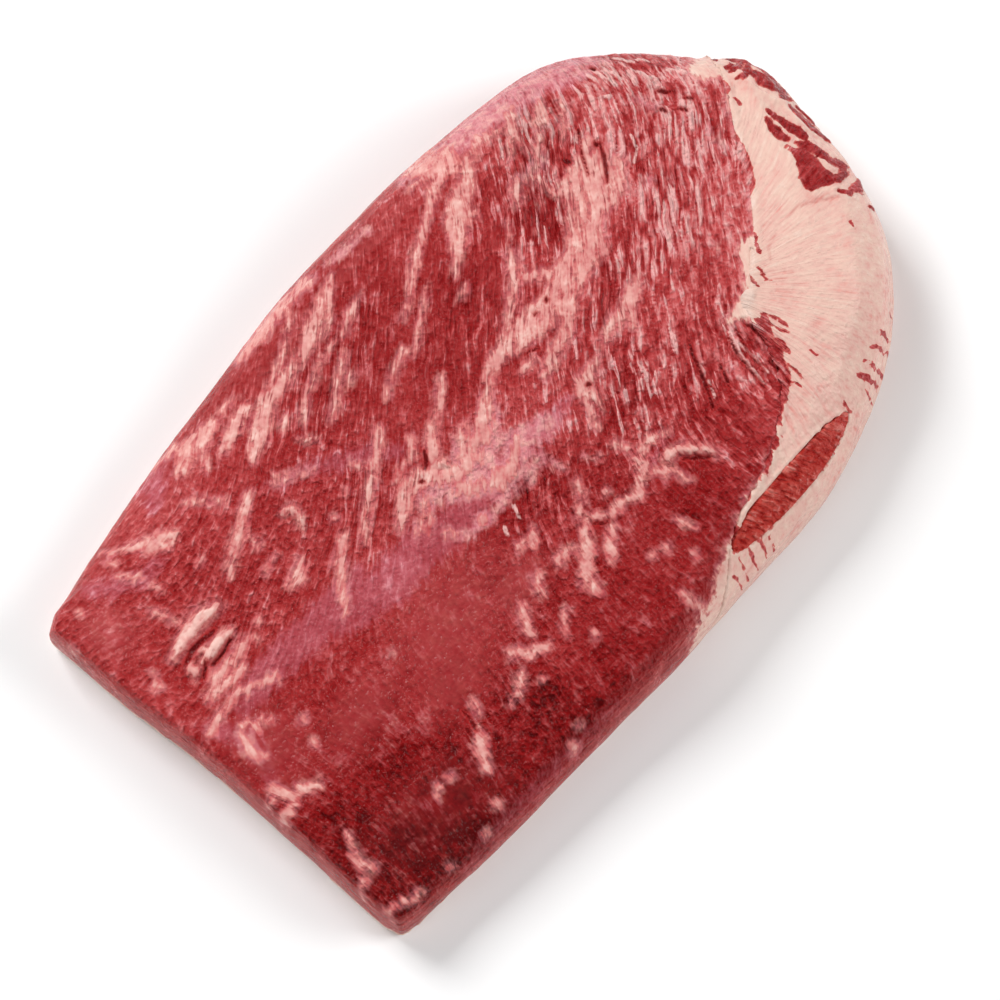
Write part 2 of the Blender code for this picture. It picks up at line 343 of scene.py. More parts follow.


# %% [markdown]
# ## Where the fat lies on the meat
#
# What the knife left on the lean side is not spread evenly: bands, fingers, crumbs and islands of fat,
# each with its own shape, and patches of thin purple skin. They could come from noise, but noise makes
# no bands and no branches. They are drawn instead, as strokes: places on the plan in mm, each
# with half the width of the stroke there.

# %% Strokes of fat
FAT_NEAR_THE_ROUNDED_END = {
    "rim_patch": [(66, 127, 4), (74, 124, 7.5), (80, 117, 7.5), (80, 112, 4)],
    "rim_top": [(70, 132, 2.5), (82, 131, 2.5)],
    "rim_spike": [(57, 119, 0.8), (67, 119, 1.8), (72, 116, 3)],
    "rim_finger": [
        (74, 112, 3), (64, 109, 2.4), (54, 104, 1.9), (44, 99, 1.7), (22, 87, 1.6), (5, 77, 0.8),
    ],
    "upper_ridge": [(78, 100, 3.5), (88, 107, 2.6), (98, 110, 2.2), (108, 106, 1.6), (115, 103, 1.4)],
    "upper_patch": [(76, 98, 4.5), (66, 94, 6.2), (58, 89, 6), (53, 83, 3.8), (46, 77, 1.8), (38, 71, 0.9)],
    "upper_tip": [(66, 88, 1.8), (68, 84, 1.4)],
    "spot": [(132, 97, 2.8), (127, 93, 3.4)],
    "first_streak": [(121, 108, 2.6), (115, 102, 2.2), (112, 95, 1.6), (110, 88, 1.2)],
    "first_hook": [(112, 98, 1.4), (107, 95, 1.8), (104, 91, 1.2)],
    "second_streak": [(121, 88, 1.6), (113, 82, 2.2), (106, 77, 1.4)],
    "third_streak": [(95, 80, 2.2), (90, 76, 2.6), (86, 72, 1.8)],
    "fourth_streak": [(96, 80, 1.2), (103, 74, 1.6), (101, 66, 1.4), (103, 58, 1.2)],
    "short_line": [(75, 69, 0.9), (70, 63, 0.7)],
    "long_line": [(141, 91, 0.7), (134, 83, 1.2), (126, 76, 0.9)],
    "band_head": [(134, 58, 4), (124, 53, 8), (113, 50, 9.5)],
    "band_head_top": [(134, 66, 2.2), (124, 62, 4), (108, 58, 4.5)],
    "band_lobe": [(136, 48, 3.2), (126, 42, 5), (114, 40, 4.5)],
    "band_neck": [(113, 50, 9), (102, 42, 9), (92, 32, 9.5)],
    "band_turn": [
        (92, 30, 9.5), (78, 28, 8.2), (64, 24, 8), (52, 24, 8), (38, 26, 6.5), (14, 27, 3), (6, 24, 1.5),
    ],
    "band_branch": [
        (66, 58, 1.4), (60, 52, 2.2), (53, 46, 2.6), (44, 40, 2.2), (34, 34, 1.4), (26, 31, 0.6),
    ],
    "band_bridge": [(60, 44, 2), (68, 36, 2.6), (76, 32, 4)],
    "band_leg": [(62, 15, 3), (54, 12, 3.6), (44, 8, 3.6), (34, 5, 3.2), (28, 3, 1.6)],
    "band_side": [(95, 1, 1.8), (88, -3, 3.8), (80, -5, 4.4), (70, -6, 3), (60, -9, 1.8)],
    "band_side_foot": [(80, -8, 2.4), (76, -13, 1.8)],
    "under_band": [(24, 14, 2), (31, 12, 1.2)],
    "triangle": [(53, -10, 0.8), (46, -12, 2.6), (38, -14, 4.2), (33, -18, 3.8)],
    "triangle_leg": [(36, -20, 2), (34, -27, 0.9), (33, -31, 0.5)],
    "triangle_foot": [(31, -23, 1.6), (28, -28, 1), (25, -34, 0.7)],
}
FAT_ALONG_THE_FAR_SIDE = {
    "streak_head": [(-1, 121, 0.9), (-8, 118, 2.8), (-16, 114, 5), (-24, 111, 4.2), (-36, 106, 3.4)],
    "streak": [
        (-36, 106, 3.4), (-48, 104, 2.6), (-60, 103, 2.8), (-70, 101, 3.8), (-80, 97, 4.8), (-97, 88, 2.2),
    ],
    "streak_bulge": [(-68, 105, 2), (-74, 103, 2.4)],
    "side_leaf": [(-17, 106, 1.1), (-22, 105, 1.6), (-28, 103, 1)],
    "short_one": [(-1, 103, 0.8), (-8, 101, 1.8), (-16, 98, 1.4), (-21, 96, 0.8)],
    "lobe": [(-81, 108, 3.4), (-90, 106, 3.8), (-98, 104, 3), (-106, 102, 1.4)],
    "far_patch": [(-97, 116, 3), (-106, 116, 5.6), (-115, 117, 5), (-123, 113, 4.2)],
    "far_patch_low": [(-113, 108, 2.6), (-115, 103, 2.2)],
    "far_patch_top": [(-118, 124, 2.4), (-129, 126, 1.8)],
    "upper_thin": [(-42, 116, 0.8), (-50, 112, 1.6), (-58, 109, 1.5), (-65, 107, 0.8)],
    "thin": [(-35, 97, 0.8), (-45, 93, 1.1), (-54, 89, 1.3), (-62, 85, 2), (-70, 81, 1.2)],
    "thin_blob": [(-73, 89, 1.8), (-77, 88, 2)],
    "warm_streak": [(-27, 89, 0.9), (-37, 83, 1.7), (-45, 79, 1.8), (-52, 74, 2.2), (-58, 71, 1.6)],
    "warm_dots": [(-34, 78, 1.4), (-37, 76, 1.3)],
    "pale_dots": [(-26, 96, 1.2), (-30, 97, 1.5)],
    "short_two": [(-7, 67, 1), (-15, 65, 2), (-24, 61, 1.6), (-32, 57, 0.8)],
    "rim_band": [(-60, 131, 2.5), (-46, 131, 4.4), (-26, 132, 5), (-10, 131, 3.4)],
    "rim_tail": [(-28, 127, 1.6), (-33, 122, 1.2), (-38, 119, 0.8)],
    "far_bits": [(-89, 118, 1), (-80, 117, 1)],
    "far_line": [(24, 79, 0.7), (14, 73, 0.9), (4, 66, 0.9), (-6, 61, 0.6)],
    "far_faint": [(30, 62, 0.8), (37, 64, 1)],
}
FAT_IN_THE_MIDDLE = {
    "finger_long": [
        (-6, 42, 1.2), (-11, 39, 2.2), (-18, 34, 1.7), (-26, 31, 2.2), (-33, 26, 3.4), (-38, 20, 3.4),
    ],
    "finger_mid": [(-17, 17, 1.8), (-23, 13, 2.6), (-30, 9, 2.2)],
    "finger_near": [(8, 22, 0.8), (1, 19, 1.8), (-6, 13, 3.2), (-14, 8, 5), (-24, 4, 4.2), (-32, 4, 3)],
    "patch": [(-76, 8, 1.6), (-70, 12, 3.2), (-61, 17, 4.6), (-51, 17, 4.4), (-43, 12, 5.8), (-39, 4, 5.2)],
    "patch_low": [(-56, 9, 1.8), (-65, 3, 1.6), (-72, 0, 1.2)],
    "patch_floor": [
        (-44, -2, 3), (-34, -8, 3.6), (-27, -13, 4.8), (-17, -15, 3.2), (-10, -10, 2.4), (-4, -6, 2),
    ],
    "white_bit": [(-64, -1, 1.5), (-69, -2, 1)],
    "white_bit_low": [(-62, -11, 1.7), (-60, -15, 1.2)],
    "streak_one": [(-66, 36, 1.6), (-72, 33, 2.2), (-79, 28, 1.9), (-84, 24, 1)],
    "streak_two": [(-83, 27, 1), (-88, 22, 1.8), (-94, 16, 1.2)],
    "streak_three": [(-97, 28, 1.8), (-104, 24, 1.8)],
    "peach_line": [(-51, 28, 1.4), (-59, 26, 1.2)],
    "lilac_near": [(-39, 34, 2.4), (-43, 29, 2), (-47, 27, 1.6)],
    "lilac_far": [(-46, 49, 1.8), (-52, 43, 2.6), (-58, 40, 1.8)],
    "lilac_line": [(-68, 48, 1.4), (-64, 42, 1.6), (-61, 37, 1.2)],
    "cross_line": [(-102, 73, 0.8), (-92, 67, 0.9), (-83, 61, 0.7)],
    "cross_line_two": [(-97, 75, 0.6), (-87, 67, 0.6)],
    "fork_stem": [
        (-12, -59, 1.6), (-18, -63, 2.6), (-24, -69, 3.4),
        (-31, -75, 3.8), (-36, -80, 3.2), (-36, -87, 2.4),
    ],
    "fork_far": [(-37, -63, 1.8), (-30, -62, 1.8), (-25, -66, 1.4)],
    "fork_arm": [
        (-12, -58, 1.2), (-7, -63, 1.5), (-2, -67, 1.9), (14, -71, 2.8), (27, -62, 2), (26, -58, 1.4),
    ],
    "fork_side": [(-20, -82, 1.6), (-14, -76, 2.4), (-7, -71, 2.2)],
    "far_dots": [(-14, -55, 1.8), (-8, -53, 1.5)],
    "far_stalk": [(-2, -43, 1.4), (-5, -50, 1.3)],
    "clump": [(-34, -43, 1.6), (-40, -46, 2.6), (-45, -43, 1.4)],
    "beads": [(-66, -63, 1.2), (-70, -69, 2), (-73, -74, 2.6)],
    "beads_right": [(-50, -60, 1.9), (-54, -63, 2), (-55, -67, 1.6)],
    "beads_low": [(-87, -76, 1.8), (-82, -80, 2.4), (-76, -84, 2.2), (-72, -86, 1.2)],
    "beads_left": [(-91, -84, 1.8), (-97, -90, 1.6), (-106, -90, 1.8)],
    "low_line": [(-54, -80, 0.8), (-59, -85, 1.2), (-63, -89, 0.8)],
    "fleck": [(-10, -119, 1), (-10, -125, 1.8), (-8, -131, 1.6)],
    "near_line": [(16, -93, 1), (18, -98, 1.3), (19, -103, 0.9)],
    "over_hook": [(30, -60, 1.8), (37, -58, 2.4), (43, -60, 1.6), (46, -62, 1.2)],
    "hook_leg": [(27, -69, 1.6), (31, -73, 1.6), (34, -80, 1.2), (34, -86, 0.9)],
}
FAT_NEAR_THE_CUT_END = {
    "spray_line": [(-182, 117, 0.9), (-176, 110, 1.2), (-169, 104, 2), (-161, 99, 3.2), (-152, 93, 1.8)],
    "spray_fan": [(-163, 96, 3.6), (-158, 92, 2.2)],
    "spray_left": [(-185, 110, 0.7), (-182, 104, 0.9)],
    "spray_low": [(-186, 100, 1.2), (-182, 95, 1.4), (-178, 92, 0.8)],
    "small_line": [(-177, 84, 1), (-176, 78, 1)],
    "left_line": [(-188, 76, 0.8), (-185, 68, 1.2), (-184, 60, 1)],
    "diagonal": [(-136, 99, 0.8), (-130, 94, 1.2), (-126, 88, 1), (-121, 84, 1)],
    "drip": [(-112, 78, 1.6), (-120, 74, 2.4), (-130, 68, 3.2), (-140, 64, 3), (-148, 58, 2.2)],
    "drip_side": [(-153, 73, 1.2), (-157, 74, 1)],
    "peach_ridge": [(-137, 45, 0.9), (-128, 46, 1.2)],
    "island": [(-134, 31, 2.4), (-127, 31, 3.4), (-121, 34, 2)],
    "island_small": [(-129, 57, 1.4), (-127, 61, 1.2)],
    "arc": [(-217, 11, 1.2), (-207, 14, 2), (-196, 15, 1.7), (-186, 13, 1.6), (-178, 9, 1.8), (-172, 5, 1)],
    "blob": [(-205, -1, 2.2), (-208, -9, 3.4), (-207, -15, 2.6)],
    "blob_side": [(-200, 3, 1.6), (-197, -2, 1.4)],
    "blob_bit": [(-193, -3, 1.3), (-190, -7, 1.4)],
    "granular": [(-117, 13, 2.8), (-121, 6, 2.6), (-125, 1, 1.4)],
    "granular_far": [(-108, 20, 3), (-113, 14, 2.4)],
    "under_lump": [(-172, 29, 2.4), (-184, 28, 3.4), (-194, 28, 2.6)],
    "under_lump_low": [(-180, 20, 2.4), (-190, 22, 2.8), (-202, 25, 1.8)],
    "beside_lump": [(-169, 30, 1.2), (-165, 26, 1.4)],
    "left_bit": [(-209, 53, 1.4), (-214, 48, 2.2)],
    "cut_patch": [(-221, -34, 1.8), (-214, -32, 2.6), (-213, -38, 3), (-206, -41, 3.4), (-197, -46, 1.6)],
    "cut_patch_low": [(-222, -44, 2.2), (-214, -44, 2.6)],
    "star_arm": [(-208, -76, 1.3), (-212, -82, 1.9), (-214, -88, 1.9), (-210, -94, 1.2)],
    "star_cross": [(-218, -94, 1.4), (-226, -98, 1.2)],
    "drop": [(-127, -88, 1.2), (-131, -93, 2.8), (-134, -98, 1.8), (-138, -104, 0.9)],
    "drop_top": [(-118, -77, 1.8), (-121, -82, 1.4)],
    "faint_low": [(-160, -91, 1.2), (-164, -94, 0.9)],
    "low_rim": [(-222, -113, 1), (-214, -116, 1.4), (-204, -120, 1)],
}
CRUMBS = [  # x, y and half the width of single grains of fat, in mm
    (-212, 102, 1.6), (-228, 93, 1.6), (-94, 37, 1.7), (-79, 41, 1.5), (-157, 31, 1.9), (-179, -18, 1.4),
    (-184, -30, 1.6), (-153, -92, 1.9), (-148, -118, 1.9), (-185, -121, 1.3), (-162, -123, 1.1),
    (2, -99, 1.9),
    (-6, -96, 1.1), (-53, -100, 1.3), (-92, -123, 1.6), (-101, -128, 1.8), (4, -58, 1.7), (25, -47, 1.9),
    (27, -52, 1.6), (-87, -95, 1.4), (35, 63, 1.5), (-46, -20, 2.2), (-125, -30, 1.2), (9, -112, 1.5),
]

# %% Lumps that stand proud
LUMPS = {
    "long": [(-198, 51, 2.6), (-190, 53, 4.0), (-181, 54, 4.4), (-172, 54, 4.6), (-166, 52, 3.2)],
    "short": [(-190, 38, 2.2), (-182, 39, 3.2), (-175, 39.5, 3.0), (-170, 38, 2.4)],
    "end": [(-197, 42, 2.0), (-197, 37, 2.6)],
    "seed": [(-187, 44, 1.1), (-185, 43.5, 1.1)],
    "hook": [
        (36, -70, 3.2), (42, -71, 2.6), (47, -76, 2.4), (51, -79, 1.8), (53, -84, 1.4), (53, -87, 0.9),
    ],
    "ring": [(-109, 58, 1.4), (-104, 57, 1.8), (-104, 51, 1.7), (-107, 46, 1.2)],
    "white_hook": [(-76, 77, 1.1), (-73, 74, 1.5), (-69, 71, 1.2)],
    "patch_lip": [(-41, 16, 1.2), (-37, 11, 1.4)],
}

# %% Cracks and pits, all darker than the meat: painted shade in their hollows, and painted shadows under the lumps and the hook
CRACKS_AND_SHADOWS = {
    "first": [(88, -39, 0.5), (84, -46, 0.8), (80, -54, 0.9), (76, -62, 0.9), (70, -71, 0.7)],
    "second": [(89, -59, 0.5), (85, -68, 0.7), (82, -73, 0.4)],
    "bundle_one": [(103, -52, 0.4), (99, -62, 0.5), (97, -72, 0.6), (95, -84, 0.5)],
    "bundle_two": [(108, -54, 0.4), (103, -66, 0.5), (101, -78, 0.5)],
    "bundle_three": [(107, -76, 0.7), (106, -84, 1), (105, -92, 0.8)],
    "bundle_four": [(113, -52, 0.6), (114, -60, 0.9), (113, -68, 1.2)],
    "low": [(-124, -75, 0.9), (-126, -83, 0.9), (-128, -88, 0.5)],
    "shadow_under_long_lump": [(-196, 45, 0.9), (-188, 47, 1.2), (-180, 46, 1.2), (-174, 45, 0.7)],
    "shadow_under_short_lump": [(-188, 34, 0.7), (-180, 34.5, 0.9), (-172, 36, 0.6)],
    "shadow_under_end_lump": [(-196, 33, 0.8), (-188, 38, 0.6)],
    "shadow_under_hook": [(41, -76, 0.7), (46, -81, 0.9), (50, -85, 0.8)],
    "beside_finger": [(-39, 25, 0.6), (-43, 20, 0.9), (-46, 19, 0.6)],
    "patch_pit": [(-52, 16, 1), (-51, 15, 1)],
    "triangle_pit": [(38, -16, 0.8), (39, -17, 0.8)],
    "band_line": [(121, 55, 0.5), (128, 66, 0.6), (136, 75, 0.5)],
    "band_line_low": [(124, 45, 0.5), (128, 49, 0.9), (133, 55, 1), (136, 60, 0.8)],
    "band_slit": [(31, 18, 0.5), (36, 15, 0.6)],
    "band_dot": [(48, 28, 0.8), (49, 28, 0.8)],
    "band_dot_two": [(57, 28, 0.9), (58, 28, 0.9)],
    "pit_one": [(178, 58, 0.7), (180, 55, 1.1), (183, 52, 0.6)],
    "pit_two": [(171, 51, 0.6), (172, 48, 0.9)],
    "pit_three": [(177, 44, 0.6), (179, 40, 0.9)],
    "pit_four": [(184, 46, 0.5), (186, 42, 0.8)],
    "pit_five": [(119, 70, 0.8), (120, 67, 1.3)],
    "pit_six": [(136, 63, 1.2), (137, 61, 1.2)],
    "pit_seven": [(167, 93, 0.9), (167, 91, 0.9)],
    "fork_gap": [(-12, -64, 0.6), (-7, -68, 0.8)],
}

# %% Pale crests of single bundles, their pale partly fat and partly a painted wet glint
CRESTS = {
    "near_one": [(105, -52, 0.9), (101, -58, 1.1), (99, -66, 1), (98, -74, 0.8), (96, -84, 0.5)],
    "near_two": [(104, -60, 0.6), (103, -70, 0.8), (102, -80, 0.6)],
    "near_three": [(115, -57, 0.7), (114, -70, 0.9), (112, -84, 0.8)],
    "near_four": [(108, -80, 0.8), (109, -90, 1)],
    "beside_first": [(79, -60, 0.6), (75, -68, 0.8)],
    "rim_one": [(166, 92, 0.8), (166, 84, 0.9), (167, 76, 0.6)],
    "rim_two": [(171, 87, 0.7), (171, 79, 0.8), (172, 73, 0.5)],
    "rim_three": [(181, 89, 1), (183, 83, 1.2), (184, 79, 0.8)],
    "rim_four": [(179, 76, 0.8), (181, 70, 0.9), (182, 64, 0.8)],
    "rim_five": [(187, 80, 0.8), (190, 74, 0.9)],
    "rim_six": [(191, 63, 0.8), (196, 55, 1)],
    "rim_seven": [(162, 92, 0.6), (162, 86, 0.8)],
    "rim_eight": [(158, 76, 1), (160, 74, 1)],
    "pocket_edge": [(151, 53, 0.7), (148, 46, 0.8), (141, 42, 0.7)],
    "middle_one": [(-31, -27, 0.9), (-34, -34, 0.7)],
    "middle_two": [(-42, -31, 1.2), (-44, -35, 0.8)],
}

# %% Veils: wide, soft strokes of thin skin; over the rounded end they also carry painted glare along its far rim
VEILS = {
    # painted glare along the far rim of the rounded end, over its thin skin
    "rounded_end": [
        (92, 118, 9), (108, 118, 10), (124, 114, 11), (140, 110, 11), (156, 105, 10), (172, 97, 7),
    ],
    "rounded_end_low": [(150, 97, 6), (164, 94, 4)],
    "far_rim": [(-62, 132, 4), (-44, 132, 6), (-24, 132, 7), (-8, 131, 5)],
    "far_corner": [(-126, 124, 4), (-140, 118, 8), (-147, 110, 5)],
    "spray": [(-202, 110, 4), (-196, 102, 6), (-188, 96, 6), (-178, 90, 5), (-166, 90, 4)],
    "cut_end": [(-216, 14, 4), (-208, 4, 6), (-206, -10, 6), (-210, -24, 5)],
    "middle_left": [(-192, 9, 8), (-172, 10, 10), (-152, 9, 11), (-134, 7, 11), (-110, 8, 9)],
    "middle": [(-134, 2, 8), (-112, -4, 11), (-90, -6, 13), (-70, -6, 12), (-54, -12, 10), (-36, -12, 8)],
    "beside_triangle": [(-36, -12, 7), (-10, -12, 6), (10, -14, 7), (26, -14, 4)],
    "cross": [(-104, 74, 3), (-90, 66, 4), (-74, 56, 5), (-60, 46, 6), (-46, 34, 5)],
    "over_hook": [(30, -66, 3), (38, -65, 3)],
    "near_wall": [(-180, -127, 2), (-150, -126, 3.5), (-110, -127, 3.5), (-70, -131, 2)],
}

# %% Pale veils: wide, soft strokes where a thin layer of fat makes the meat pink; the rim stroke is partly painted glare along the far rim of the rounded end
PALE_VEILS = {
    "middle": [(-56, 6, 6), (-44, 2, 9), (-28, -4, 12), (-12, -8, 11), (2, -12, 8), (14, -14, 5)],
    "middle_top": [(-30, 12, 4), (-14, 6, 5), (0, 8, 4)],
    # partly painted glare along the far rim of the rounded end
    "rim": [(60, 128, 5), (90, 122, 8), (120, 117, 10), (150, 106, 9), (174, 92, 6)],
    "far_rim": [(4, 128, 3), (16, 125, 5), (28, 123, 4)],
    "end_one": [(168, 64, 3), (169, 54, 3)],
    "end_two": [(180, 25, 2), (176, 14, 3)],
    "end_three": [(139, 29, 3), (146, 22, 2)],
    "end_four": [(138, -16, 2), (124, -24, 2)],
    "crests": [(114, -62, 2), (112, -74, 2)],
    "upper_one": [(82, 55, 1), (92, 66, 2)],
    "upper_two": [(99, 82, 2), (112, 78, 3)],
    "low": [(-56, -20, 3), (-30, -22, 5), (-5, -22, 5), (-2, -32, 3)],
    "low_two": [(8, -38, 1), (14, -44, 2)],
    "cut_edge": [(-231, 104, 1), (-233, 60, 2), (-234, 20, 2), (-233, -30, 0)],
}

# %% Soft patches: x, y, half the length, half the width in mm, and the turn in degrees
SMOOTH_MEAT = [
    (-95, -42, 42, 26, 10),
    (-115, -62, 26, 18, 10),
    (-60, -55, 22, 14, 0),
    (-160, -40, 30, 16, 0),
    (-200, -15, 20, 22, 0),
    (-210, 85, 14, 16, 0),
    (-170, -100, 40, 22, -10),
]
BUNDLED_MEAT = [
    (176, 70, 50, 34, 90),
    (150, 36, 60, 36, 60),
    (178, 26, 34, 28, 55),
    (130, 10, 50, 34, 50),
    (104, -68, 40, 20, 78),
    (78, -50, 34, 32, 60),
    (122, 84, 34, 24, 45),
    (94, 60, 30, 16, 45),
    (56, -34, 36, 22, 60),
    (-22, -34, 22, 16, 60),
    (84, 6, 40, 16, 30),
]
STREAKED_MEAT = [
    (100, 80, 60, 30, 30),
    (30, 44, 44, 30, 20),
    (-40, 90, 60, 30, 10),
    (30, -20, 60, 30, 60),
    (60, -95, 30, 16, 110),
    (-70, 30, 40, 20, 35),
]
GRANULAR_MEAT = [
    (-105, 108, 34, 9, -5),
    (-110, 50, 30, 26, 0),
    (-165, 80, 30, 30, 0),
    (-80, 60, 30, 20, 10),
    (-150, 40, 30, 20, 0),
    (20, -50, 36, 26, 0),
    (-50, -60, 40, 30, 0),
    (-100, -90, 40, 20, 0),
]

# %% How red the meat is painted: x and y in mm, from 0 for the darkest red to 1 for the palest pink, darker towards the near corner, and palest along the far rim of the rounded end, which is partly painted glare
TONE_GUIDES = [
    (166, 86, 1.04), (190, 54, 1.10), (130, 81, 0.98), (144, 41, 0.98), (168, 21, 1.02),
    (133, -9, 1.06), (96, -14, 0.98), (104, 32, 0.78), (104, 72, 0.90), (80, 85, 0.62),
    (33, 68, 0.45), (38, 109, 0.75), (5, 93, 0.58), (-25, 81, 0.54), (-3, 47, 0.52),
    (39, 29, 0.64), (57, -8, 0.92), (90, -46, 0.82), (92, -72, 0.86), (68, -92, 0.62),
    (29, -93, 0.38), (15, -125, 0.50), (43, -47, 0.76), (24, -17, 0.90), (-2, 7, 0.86),
    (-39, 42, 0.70), (-76, 77, 0.68), (-87, 106, 0.66), (-89, 45, 0.70), (-118, 87, 0.72),
    (-156, 107, 0.86), (-196, 99, 0.76), (-222, 90, 0.66), (-180, 73, 0.66), (-145, 56, 0.66),
    (-122, 36, 0.70), (-149, 20, 0.80), (-215, 42, 0.70), (-213, 17, 0.66), (-96, 6, 0.78),
    (-109, -19, 0.64), (-86, -53, 0.60), (-14, -43, 0.58), (-45, -70, 0.54), (-17, -87, 0.55),
    (-24, -119, 0.46), (-55, -113, 0.34), (-68, -90, 0.66), (-98, -103, 0.20), (-86, -133, 0.25),
    (-117, -80, 0.46), (-133, -54, 0.58), (-152, -23, 0.60), (-187, -14, 0.54), (-219, -8, 0.50),
    (-190, -43, 0.46), (-163, -66, 0.28), (-141, -100, 0.16), (-133, -133, 0.40), (-206, -71, 0.24),
    (-187, -101, 0.10), (-164, -120, 0.10), (-224, -106, 0.22), (-214, -124, 0.20),
    # the palest guides along the far rim of the rounded end are partly painted glare
    (100, 122, 0.92), (130, 118, 1.00), (155, 104, 1.00), (172, 96, 0.96), (74, 124, 0.80),
    (12, -66, 0.54), (18, 118, 0.70),
]

# %% The edge of the meat against the bank of fat, in mm
MEAT_EDGE = [
    (240, 66), (222, 61), (212, 59.5), (205, 57), (198, 53.5), (197.5, 48), (198.5, 42), (202.5, 40),
    (204.5, 35), (203, 31.5), (199, 29.5), (194.5, 25), (190, 20), (187, 15.5), (184.5, 9), (182, 3),
    (178, -4), (172, -11), (162, -17), (151, -29), (142, -26), (136, -31), (131, -39), (124, -46),
    (116, -48), (110, -49), (115, -54), (121, -61), (116, -69), (116, -77), (112, -82),
    (109, -88), (104, -94),
    (95, -97), (87, -100), (81, -105), (69, -109), (59, -112), (46, -113), (38, -116), (27, -120),
    (20, -119), (14, -125), (6, -127), (3, -131), (-9, -133), (-20, -136), (-32, -142), (-44, -152),
]
BANK_SIDE = [(-44, -200), (300, -200), (300, 90), (250, 90)]  # round the outside of the bank and back

# %% Scraps of red meat in the bank of fat
RED_LOBES = {
    "rim_top": [(221, 47, 1.0), (225, 44.5, 2.2), (228.5, 38, 2.2), (230.5, 31, 1.6), (230.5, 22, 1.2)],
    "rim_streak_one": [(212.5, 42, 0.6), (216, 40.5, 1.3), (219, 42.5, 0.6)],
    "rim_streak_two": [(213, 38.5, 0.8), (218, 37.8, 1.5), (224, 40, 1.0)],
    "rim_streak_three": [(210.5, 32.5, 0.5), (215, 31.5, 1.2), (221, 33, 1.6), (225, 36, 1.0)],
    "rim_streak_four": [(211, 51, 0.3), (215, 51.5, 0.7), (219, 53, 0.4)],
    "rim_line": [(199, 53.5, 0.3), (205, 56.8, 0.3), (212, 59.4, 0.4), (221, 60.5, 0.5)],
    "big": [(222, 28.5, 2.4), (222, 23, 4.2), (225, 18, 4.6), (228, 14, 1.6)],
    "big_low": [(220.5, 10, 1.0), (224.5, 11, 2.0), (227, 9, 1.0)],
    "right": [(221, 4, 1.3), (220.5, -2, 2.5), (220.5, -9, 2.5), (222, -16, 1.6), (223, -21, 0.8)],
    "right_rim": [(226, 3, 0.9), (226.5, -3, 1.1), (226, -9, 0.9)],
    "upper": [(207.5, 8, 1.4), (208, 2, 2.2), (209, -4, 2.9), (210, -9, 3.1), (211, -12, 2.2)],
    "lower": [(203, 6.5, 0.8), (201.5, 2, 2.1), (201, -3, 2.3), (202, -8, 1.3)],
    "spur": [(198, -11, 1.0), (199, -16, 1.8)],
    "heart_top": [(204, -13, 0.9), (207, -18, 3.0), (209, -24, 3.2), (210, -27, 2.2)],
    "heart": [(200, -19, 4.0), (198, -25, 6.0), (195, -31, 7.4), (199, -36, 5.0)],
    "curl": [(209, -31, 1.4), (212.5, -33, 2.9), (215, -36.5, 2.4), (211, -40, 1.9), (204, -40, 2.0)],
    "outer": [(199, -45.5, 0.7), (201.5, -48, 1.4), (204, -50, 0.7)],
    "outer_right": [(206, -48.8, 1.6), (211, -48.8, 2.5), (216, -46.5, 1.5)],
    "dash": [(207, -60, 0.4), (210, -60.5, 0.9)],
}
RED_THREADS = {
    "finger_one": [(135, -35, 1.2), (133, -41, 1.0), (132, -47, 0.6)],
    "finger_two": [(139, -42, 0.7), (137, -49, 0.8), (139, -55, 0.6)],
    "finger_three": [(151, -27, 1.5), (146, -36, 0.8)],
    "edge_one": [(121, -61, 2.0), (117, -70, 1.2), (118, -75, 1.2), (117, -81, 0.6)],
    "edge_two": [(112, -85, 0.7), (112, -90, 1.0), (111, -95, 0.5)],
    "edge_three": [(106, -90, 0.8), (108, -96, 0.6)],
    "pink_one": [(122, -57, 0.6), (126, -66, 0.6), (126, -73, 0.4)],
    "pink_two": [(121, -65, 0.5), (124, -75, 0.3)],
    "fleck": [(124, -87, 0.6), (125, -92, 0.6)],
    "speck_far": [(200, 25, 1.1), (200, 24, 1.1)],
    "speck_near": [(189, -61, 0.7), (189, -62, 0.7)],
    "dash_one": [(160, -107, 0.6), (164, -110, 0.9)],
    "dash_two": [(150, -108, 0.4), (157, -113, 0.9), (160, -115, 1.1)],
    "dash_three": [(142, -111, 0.6), (146, -116, 0.9), (149, -120, 0.6)],
    "dash_four": [(134, -112, 1.0), (138, -117, 1.6), (143, -122, 1.0)],
    "dash_five": [(133, -119, 0.7), (134, -125, 0.7)],
    "dash_six": [(119, -117, 0.7), (119, -122, 0.7)],
    "dash_seven": [(174, -103, 0.6), (175, -107, 0.7)],
    "stripe_one": [(44, -130, 0.7), (42, -136, 0.4)],
    "stripe_two": [(38, -129, 0.6), (37, -137, 0.4)],
    "stripe_three": [(31, -127, 0.7), (29, -137, 0.4)],
    "stripe_four": [(24, -129, 0.5), (22, -137, 0.4)],
    "stripe_five": [(16, -131, 0.6), (17, -138, 0.4)],
}
FAT_CREASES = {
    "long": [(196, -47, 0.2), (190, -44, 0.3), (183, -39, 0.3), (176, -36, 0.2), (168, -35, 0)],
    "short": [(193, -42, 0), (187, -40, 0.1), (182, -38.5, 0)],
    "low": [(160, -36, -0.2), (150, -39, 0), (146, -44, -0.1)],
}
